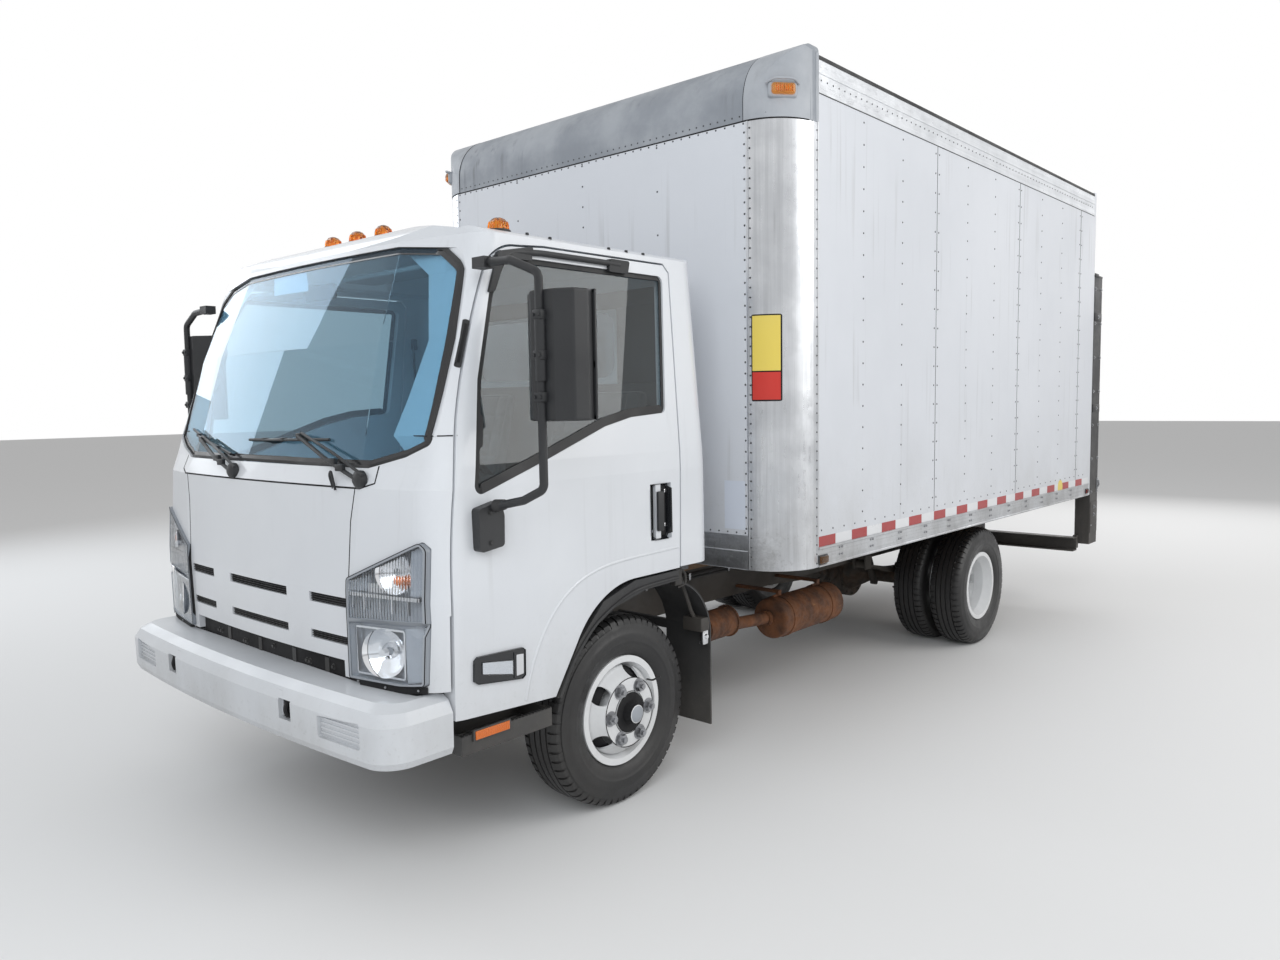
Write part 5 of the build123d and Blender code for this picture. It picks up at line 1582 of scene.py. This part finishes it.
def make_carriage_parts():
    """Rollers in their shoes, pin collars and grease points, all riding on the carriage."""
    bm, pins = bmesh.new(), bmesh.new()
    for side in (1, -1):
        out = X * side
        for z, y in product((850, 1050, 1250), (5074, 5162)):
            drum(bm, at(side * 1146, y, z), out, 0.009, 0.008, 16)
        drum(pins, at(side * 1103, 5116, 945), out, 0.019, 0.004, 24)
        drum(pins, at(side * 362, 5116, 945), out, 0.014, 0.006, 24)
        blocks(bm, [(640, 5048, 884, 700, 5051, 956, 0.001, 1)], side)
    for x in range(-1000, 1001, 250):
        bolt(bm, at(x, 5050.5, 920), -Y, 15, 5, 6)
    keep("carriage_rollers", bm, zinc, "lift_carriage")
    keep("carriage_collars", pins, zinc, "lift_carriage")


def make_platform_parts():
    """Raised tread on the deck's load face, edges and grip of the ribbed side, and flags."""
    bm = bmesh.new()
    face, pitch = 5096, 41.0
    for i, j in product(range(52), range(19)):
        lean = 1 if (i + j) % 2 else -1
        along = Vector((0.011, 0, 0.011 * lean))
        across = Vector((0.0032 * -lean, 0, 0.0032))
        spot = at(-1045 + pitch * i, face + 0.2, 996 + pitch * j)
        ways = (-along, -across, along, across)
        low = [bm.verts.new(spot + s) for s in ways]
        top = [bm.verts.new(spot + s * 0.6 - Y * 0.0022) for s in ways]
        for k in range(4):
            n = (k + 1) % 4
            bm.faces.new((low[k], low[n], top[n], top[k]))
        bm.faces.new(top)
    for z in range(1800, 2041, 60):
        blocks(bm, [(-1066, face - 1.8, z, 1066, face + 1, z + 6, 0.0008, 1)])
    keep("platform_tread", bm, lift_paint, "lift_platform", 0)
    bm = bmesh.new()
    for side in (-1, 1):
        blocks(bm, [(1062, 5097, 985, 1076, 5138.5, 1750, 0.003)], side)
    for x, z in product(range(-1050, 1051, 350), (1255, 1515)):
        drum(bm, at(x, 5135, z), Y, 0.012, 0.0035, 12)
    bar(bm, [(-60, 5134, 1660), (-60, 5139, 1700), (60, 5139, 1700), (60, 5134, 1660)], 0.007,
        bend=0.02)
    keep("platform_edges", bm, lift_paint, "lift_platform")
    bm = bmesh.new()
    for side in (1, -1):
        blocks(bm, [(1040, 5136, 1620, 1068, 5139, 1730, 0.001, 1)], side)
    keep("platform_flags", bm, yellow_sheet, "lift_platform")


make_rear_door()
make_rear_frame_parts()
make_guard_parts()
make_column_parts()
make_carriage_parts()
make_platform_parts()


# Chassis
def make_running_gear():
    """U-bolts and plates over the springs, dampers, joints of the shaft, axle cover bolts."""
    bars, nuts, dampers, joints = (bmesh.new() for _ in range(4))
    for side in (1, -1):
        for x, y, low, high, reach in ((400, 0, 252, 372, 56), (510, REAR_AXLE, 316, 494, 74)):
            for end in (y - reach, y + reach):
                bar(bars, [(x - 41, end, low - 22), (x - 41, end, high), (x + 41, end, high),
                           (x + 41, end, low - 22)], 0.007, side, bend=0.02)
                for dx in (-41, 41):
                    bolt(nuts, at(side * (x + dx), end, low - 2), -Z, 24, 12, 6, washer=30)
            blocks(bars, [(x - 56, y - reach - 16, low - 2, x + 56, y + reach + 16, low + 10,
                           0.003)], side)
        for foot, head in ((at(side * 300, -130, 330), at(side * 350, -190, 660)),
                           (at(side * 330, REAR_AXLE - 120, 350),
                            at(side * 345, REAR_AXLE - 330, 690))):
            way = (head - foot).normalized()
            drum(dampers, foot + way * 0.02, way, 0.024, 0.16, 20)
            drum(dampers, foot + way * 0.15, way, 0.031, (head - foot).length - 0.18, 20)
            for end in (foot, head):
                drum(dampers, end - X * 0.02, X, 0.021, 0.04, 18)
    keep("spring_bolts", bars, cast_iron)
    keep("spring_nuts", nuts, zinc)
    keep("dampers", dampers, chassis_paint)

    nose = at(0, REAR_AXLE - 280, 406)
    turned(joints, [(-4, 60), (-4, 100), (10, 100), (10, 82)], nose, -Y, 40)
    for k in range(10):
        a = math.tau * k / 10
        bolt(joints, nose + Vector((math.cos(a) * 0.091, -0.010, math.sin(a) * 0.091)), -Y, 14, 6)
    turned(joints, [(0, 62), (18, 62), (22, 48), (46, 44)], nose - Y * 0.012, -Y, 32)
    turned(joints, [(0, 70), (14, 70), (20, 50), (60, 46)], at(0, 905, 560), Y, 32)
    for (y, z), axis in product(((972, 556), (REAR_AXLE - 352, 413)), (X, Z)):
        drum(joints, at(0, y, z) - axis * 0.052, axis, 0.016, 0.104, 16)
    for side, k in product((1, -1), range(12)):
        bolt(joints, at(side * 96, REAR_AXLE, 386) + spoke(math.tau * k / 12) * 0.168, X * side,
             15, 7)
    keep("axle_and_shaft_joints", joints, cast_iron)


def make_frame_parts():
    """Bolts where crossmembers meet the rails, pipes with clips, exhaust and tank fittings."""
    bm = bmesh.new()
    for side in (1, -1):
        out = X * side
        for y, dy, z in product((-960, 1000, 2020, 2560, 4020, 4880), (-22, 22), (624, 662, 700)):
            bolt(bm, at(side * 425, y + dy, z), out, 15, 6)
        for y, z in product((-575, 575, 2740, 3990), (590, 606)):
            bolt(bm, at(side * 425, y, z), out, 17, 7)
    keep("frame_bolts", bm, cast_iron)
    bm = bmesh.new()
    for z, radius in ((712, 0.006), (728, 0.009), (736, 0.004)):
        bar(bm, [(433, 620, z), (433, 4700, z), (400, 4800, z - 20)], radius, bend=0.05, sides=8)
    bar(bm, [(-433, 700, 720), (-433, 1090, 720), (-470, 1110, 690), (-480, 1130, 640)], 0.009,
        bend=0.05)
    bar(bm, [(-470, 2300, 660), (-440, 2280, 700), (-434, 2050, 722), (-434, 1990, 722)], 0.011,
        bend=0.05)
    keep("frame_pipes", bm, rubber)
    keep("pipe_clips", built([(424, y - 9, 704, 445, y + 9, 743, 0.003)
                              for y in range(700, 4441, 340)]), zinc)
    bm = bmesh.new()
    for y in (1398, 1982):
        turned(bm, [(-5, 90), (-5, 101), (5, 101), (5, 90)], at(700, y, 475), Y, 40)
    for place in ((690, 1382, 480), (640, 960, 500)):
        turned(bm, [(0, 32), (0, 40), (24, 40), (24, 32)], at(*place), -Y, 24)
    for y in (1480, 1870):
        bolt(bm, at(700, y - 20, 590), -Y, 14, 40)
    for y in (895, 1115):
        turned(bm, [(-4, 70), (-4, 82), (4, 82), (4, 70)], at(620, y, 505), Y, 36)
    keep("exhaust_clamps", bm, rusty_steel)

    # Filler neck with its cap screws, tank straps and drain plug, battery box straps
    bm = bmesh.new()
    way = Vector((-0.8, 0, 0.6))
    for k in range(10):
        across = spoke(math.tau * k / 10, Y, way.cross(Y))
        drum(bm, at(-866, 1700, 678) + across * 0.045 - way * 0.006, way, 0.005, 0.018, 8)
    for y in (1225, 1825):
        bar(bm, [(-866, y, 470), (-874, y, 480), (-874, y, 640), (-866, y, 650)], 0.004)
        for z in (486, 632):
            bolt(bm, at(-868, y, z), -X, 15, 8)
    drum(bm, at(-665, 1525, 430), -Z, 0.016, 0.012, 6)
    for y in (2180, 2530):
        bar(bm, [(-832, y, 560), (-846, y, 585), (-846, y, 630), (-836, y, 652)], 0.005, bend=0.01)
        blocks(bm, [(-842, y - 18, 636, -832, y + 18, 655, 0.003)])
    keep("tank_and_battery_fittings", bm, zinc)


def make_engine_parts():
    """Ribbed sump, oil filter, cooler core with its fan, belt wheels and air trunk."""
    bm = built([(-200, -380, 372, 200, 200, 432, 0.02, 3)])
    blocks(bm, [(-190, y, 366, 190, y + 8, 376, 0.002, 1) for y in range(-350, 147, 62)])
    drum(bm, at(-300, 80, 560), -X, 0.045, 0.11, 24)
    for x, z, r in ((0, 520, 95), (120, 640, 60), (-130, 660, 55)):
        turned(bm, [(0, r), (8, r + 3), (12, r - 6), (18, r - 6), (22, r + 3), (30, r), (30, 20),
                    (44, 18), (44, 0)], at(x, -420, z), -Y, 32)
    for x in (299, -299):
        blocks(bm, [(x - 3, y, 520, x + 5, y + 14, 840, 0.002, 1) for y in range(-380, 251, 105)])
    for k in range(6):
        turned(bm, [(0, 150 - 4 * k), (6, 150 - 4 * k)], at(0, 420 + 70 * k, 590), Y, 24)
    keep("engine_fittings", bm, cast_iron)
    core = built([(-330, -640, 470, 330, -586, 860, 0.006)]
                 + [(-312, -643, z, 312, -641, z + 3) for z in (486 + 9.6 * k for k in range(38))])
    for k in range(7):
        a = math.tau * k / 7
        root = at(0, -560, 640) + spoke(a, X, Z) * 0.10
        tip = at(0, -566, 640) + spoke(a + 0.35, X, Z) * 0.20
        half = (tip - root).cross(Y).normalized() * 0.028
        corners = [root - half, root + half, tip + half * 1.6 + Y * 0.02,
                   tip - half * 1.6 - Y * 0.01]
        verts = [core.verts.new(c) for c in corners]
        verts += [core.verts.new(c + Y * 0.003) for c in corners]
        for f in ((0, 1, 2, 3), (7, 6, 5, 4), (0, 4, 5, 1), (1, 5, 6, 2), (2, 6, 7, 3),
                  (3, 7, 4, 0)):
            core.faces.new([verts[i] for i in f])
    drum(core, at(0, -582, 640), Y, 0.10, 0.045, 32)
    keep("cooler_and_fan", core, chassis_paint)


make_running_gear()
make_frame_parts()
make_engine_parts()


# Inside the cab
def make_dash_parts(plastic, dark, pale, bright):
    """Instrument glass in its hood, air vents with vanes, radio blank, lockers and switches."""
    dash = skin("dashboard")

    def press(bm, outline, thick, lift=0.5, step=60, **shape):
        patch(bm, outline, "rear", dash, thick, lift, step=step, **shape)

    press(dark, rectangle(360, 1292, 700, 1392), 3, radius=18)
    for x in (425, 530, 635):
        turned(bright, [(0, 38), (3, 38), (3, 34), (0, 34)], on(dash, "rear", x, 1342, 4), Y, 32)
        press(pale, strip([(x, 1342), (x + 24, 1362)], 2.4), 1, 5, 0)
    for x0, x1 in ((-840, -700), (-150, -20), (20, 150), (760, 870)):
        press(dark, rectangle(x0, 1215, x1, 1275), 3, radius=8)
        for z in (1224, 1236, 1248, 1260):
            press(plastic, rectangle(x0 + 6, z, x1 - 6, z + 5), 5, 2)
    press(dark, rectangle(-110, 1130, 110, 1190), 4, radius=4)
    for x in range(-96, 75, 34):
        press(plastic, rectangle(x, 1140, x + 24, 1152), 4, 3, 0)
    for x in (-82, 82):
        turned(plastic, [(0, 15), (12, 14), (14, 11), (14, 0)], on(dash, "rear", x, 1170, 4), Y, 20)
    press(dark, rectangle(-680, 1060, -250, 1190), 1, 0.2, radius=14, ring=3)
    press(plastic, rectangle(-500, 1168, -430, 1180), 8, 0, 0, radius=3)
    for x in range(200, 315, 38):
        press(dark, rectangle(x, 1200, x + 32, 1226), 5, step=0, radius=3)


def make_controls(plastic):
    """Column cowl with its two stalks, pedals, gear lever and brake lever."""
    column = Vector((0, 0.83, 0.56))
    drum(plastic, at(530, -560, 1235), column, 0.052, 0.10, 24, end_radius=0.045)
    for side in (1, -1):
        bar(plastic, [(530 + side * 40, -500, 1268), (530 + side * 110, -490, 1284),
                      (530 + side * 168, -478, 1290)], 0.007, bend=0.03)
        drum(plastic, at(530 + side * 150, -481, 1288), X * side, 0.010, 0.035, 14)
    turned(plastic, [(0, 62), (8, 60), (14, 48), (17, 20), (17, 0)],
           at(530, -452, 1312) - Z * 0.002, column, 36)
    for x, y in ((430, -800), (560, -800), (680, -810)):
        blocks(plastic, [(x - 32, y, 700, x + 32, y + 14, 770, 0.005)])
        blocks(plastic, [(x - 28, y + 12, z, x + 28, y + 17, z + 6, 0.001, 1)
                         for z in (708, 723, 738, 753)])
        bar(plastic, [(x, y, 740), (x, y - 30, 860), (x, y - 20, 960)], 0.008, bend=0.05)
    bar(plastic, [(110, -330, 940), (110, -340, 1060), (120, -300, 1210)], 0.008, bend=0.06)
    bmesh.ops.create_uvsphere(plastic, u_segments=20, v_segments=14, radius=0.026,
                              matrix=Matrix.Translation(at(120, -298, 1226)))
    turned(plastic, [(0, 60), (20, 52), (36, 30), (60, 20), (70, 10)], at(110, -330, 943), Z, 28)
    bar(plastic, [(200, -180, 945), (200, -200, 1120), (200, -150, 1200)], 0.011, bend=0.06)


def make_pillar_parts(plastic, dark, pale):
    """Grab handles on both front pillars, visors, mirror and belts."""
    for side in (1, -1):
        grip = [on(glass_skin, "front", side * 850, z, -lift) for z, lift in (
            (1700, 40), (1720, 75), (1890, 75), (1910, 40))]
        tube(plastic, grip, 0.013, bend=0.03, sides=12)
        top = on(glass_skin, "front", side * 380, 2120, -70)
        box(pale, Vector((side * 0.12, top.y, top.z - 0.010)),
            Vector((side * 0.64, top.y + 0.15, top.z + 0.010)), 0.008, 3)
        bar(dark, [(905, 330, 1950), (890, 335, 1500), (880, 300, 1120)], 0.006, side, bend=0.05)
        blocks(dark, [(883, 318, 1930, 911, 345, 1990, 0.006)], side)
        x = side * 900
        blocks(plastic, [(x - 16, 420, z, x + 10, 436, z + 60, 0.004) for z in (1500, 1800)])
    centre, half = on(glass_skin, "front", 0, 2080, -60), Vector((0.11, 0.0, 0.03))
    box(dark, centre - half, centre + half + Y * 0.02, 0.008, 3)


def make_cab_inside():
    plastic, dark, pale, bright = (bmesh.new() for _ in range(4))
    make_dash_parts(plastic, dark, pale, bright)
    make_controls(plastic)
    make_pillar_parts(plastic, dark, pale)
    keep("cab_switchgear", plastic, black_plastic)
    keep("cab_dark_parts", dark, gap_and_shade_black)
    keep("dial_rims", bright, chrome)
    keep("visors_and_needles", pale, headliner)
    keep("back_wall_lining", built([
        (-905, 424, 960, 905, 434, 1715, 0.006), (-900, 424, 1710, -886, 434, 2120, 0.004),
        (886, 424, 1710, 900, 434, 2120, 0.004), (-880, 424, 2052, 880, 434, 2130, 0.006),
        (-880, 424, 1715, -520, 434, 2060, 0.006), (520, 424, 1715, 880, 434, 2060, 0.006)]),
        interior)
    mat = built([(-880, -180, 946, 880, 400, 951, 0.002, 1)])
    blocks(mat, [(x, -300, 946, x + 20, -190, 950, 0.001, 1) for x in range(-870, 842, 59)])
    keep("floor_mat", mat, rubber)
    keep("blank_paper", laid([[(-326, 2169), (-48, 2164), (17, 2082), (-268, 2087)]], "front",
                             glass_skin, 0.6, -9, step=60), paper)


make_cab_inside()


# Seats: padded forms, stuffed by a short cloth simulation between their sewn lines
SEAT_MESH = 0.012
SEAT_ROOM = 0.011
SEAM_DEPTH = 0.009
STUFFING_FRAMES = 20


def seat_form(points, x0, x1, inset=12):
    """A closed slab whose side outline is given as (station, height), rounded all round."""
    bm = bmesh.new()
    face = bm.faces.new([bm.verts.new(at(x0 + inset, y, z)) for y, z in points])
    made = bmesh.ops.extrude_face_region(bm, geom=[face])["geom"]
    for v in (g for g in made if isinstance(g, bmesh.types.BMVert)):
        v.co.x = (x1 - inset) * MM
    bmesh.ops.recalc_face_normals(bm, faces=bm.faces)
    bmesh.ops.bevel(bm, geom=bm.edges[:], offset=0.026, segments=4, profile=0.5, affect="EDGES",
                    material=-1)
    return bm


def applied(piece):
    """A mesh with the piece's modifiers in it."""
    graph = bpy.context.evaluated_depsgraph_get()
    return bpy.data.meshes.new_from_object(piece.evaluated_get(graph))


def blow_up(piece, start):
    """Inflates a pad round its held points; no point may move further than SEAT_ROOM."""
    cloth = piece.modifiers.new("stuffing", "CLOTH")
    cloth.settings.use_pressure = True
    cloth.settings.uniform_pressure_force = 4
    cloth.settings.effector_weights.gravity = 0
    cloth.settings.vertex_group_mass = "held"
    cloth.collision_settings.use_collision = False
    cloth.point_cache.frame_start, cloth.point_cache.frame_end = 1, STUFFING_FRAMES
    for frame_number in range(1, STUFFING_FRAMES + 1):
        scene.frame_set(frame_number)
    shaped = applied(piece)
    piece.modifiers.remove(cloth)
    for v, end, first in zip(piece.data.vertices, shaped.vertices, start):
        move = end.co - first
        if move.length > SEAT_ROOM:
            move = move.normalized() * SEAT_ROOM
        v.co = first + move
    scene.frame_set(1)


def stuffed_seat(name, points, x0, x1, face_way, channels):
    """One pad: remeshed evenly, held along its sewn lines, blown up a little, then smoothed."""
    piece = stand(name, mesh_of(name, seat_form(points, x0, x1)))
    even = piece.modifiers.new("even", "REMESH")
    even.mode = "VOXEL"
    even.voxel_size = SEAT_MESH
    piece.data = applied(piece)
    piece.modifiers.remove(even)
    mesh = piece.data
    start = [v.co.copy() for v in mesh.vertices]
    held = piece.vertex_groups.new(name="held")
    for v in mesh.vertices:
        sewn = any(abs(v.co.dot(axis) - place) < SEAT_MESH * 0.55 for axis, place in channels)
        if v.normal.dot(face_way) < -0.6:
            held.add([v.index], 1.0, "REPLACE")
        elif sewn and v.normal.dot(face_way) > 0.5:
            held.add([v.index], 1.0, "REPLACE")
            start[v.index] = v.co - face_way * SEAM_DEPTH
            v.co = start[v.index]
    blow_up(piece, start)
    finer = piece.modifiers.new("finer", "SUBSURF")
    finer.levels = 1
    piece.data = applied(piece)
    piece.modifiers.remove(finer)
    piece.vertex_groups.clear()
    piece.data.materials.clear()
    piece.data.materials.append(seat_cloth)
    piece.data.shade_smooth()
    piece.data.name = name
    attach(piece, "chassis")
    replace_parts(piece, "seats")
    return piece


def piping(name, pad, x0, x1, low, high):
    """A cord sewn along an edge of a pad, laid on its finished surface. low and high are the
    (station, height) of its two long runs."""
    surface = BVHTree.FromPolygons([v.co.copy() for v in pad.data.vertices],
                                   [list(p.vertices) for p in pad.data.polygons])
    ring = [at(x0 + 16, *low), at(x1 - 16, *low), at(x1 - 16, *high), at(x0 + 16, *high)]
    line = []
    for a, b in zip(ring, ring[1:] + ring[:1]):
        steps = max(2, round((b - a).length / 0.02))
        line += [surface.find_nearest(a.lerp(b, i / steps))[0] for i in range(steps)]
    bm = bmesh.new()
    tube(bm, line, 0.0042, closed=True, sides=8)
    keep(name, bm, seat_cloth, smooth=60)


def make_seat(name, x0, x1):
    lean, up = Vector((0, -0.9613, 0.2755)), Vector((0, 0.2755, 0.9613))
    sides = [(X, (x0 + 95) * MM), (X, (x1 - 95) * MM)]
    if name == "bench":
        sides.append((X, (x0 + x1) / 2 * MM))
    rows = [(Y, at(0, y, 0).y) for y in (-190, -85, 20)]
    cushion = stuffed_seat(f"seat_cushion_{name}",
                           [(-288, 1132), (198, 1132), (198, 1238), (-288, 1238)], x0, x1, Z,
                           sides + rows)
    rows = [(up, (at(0, 190, 1270) + up * d).dot(up)) for d in (0.11, 0.21, 0.31)]
    back = stuffed_seat(f"seat_back_{name}", [(168, 1264), (256, 1264), (350, 1668), (288, 1684)],
                        x0, x1, lean, sides + rows)
    piping(f"seat_piping_cushion_{name}", cushion, x0, x1, (-292, 1232), (196, 1232))
    piping(f"seat_piping_back_{name}", back, x0, x1, (172, 1270), (285, 1676))
    bm = built([(x0 + 40, -260, 946, x1 - 40, 200, 1122, 0.012, 3)])
    for x in (x0 + 20, x1 - 20):
        blocks(bm, [(x - 12, -280, 1090, x + 12, 190, 1128, 0.006),
                    (x - 10, 150, 1110, x + 10, 230, 1290, 0.006)])
    bar(bm, [(x0 + 60, -285, 1100), (x0 + 80, -296, 1092), (x1 - 80, -296, 1092),
             (x1 - 60, -285, 1100)], 0.007, bend=0.02)
    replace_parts(keep(f"seat_base_{name}", bm, interior), "seats")


make_seat("driver", 260, 800)
make_seat("bench", -880, -60)
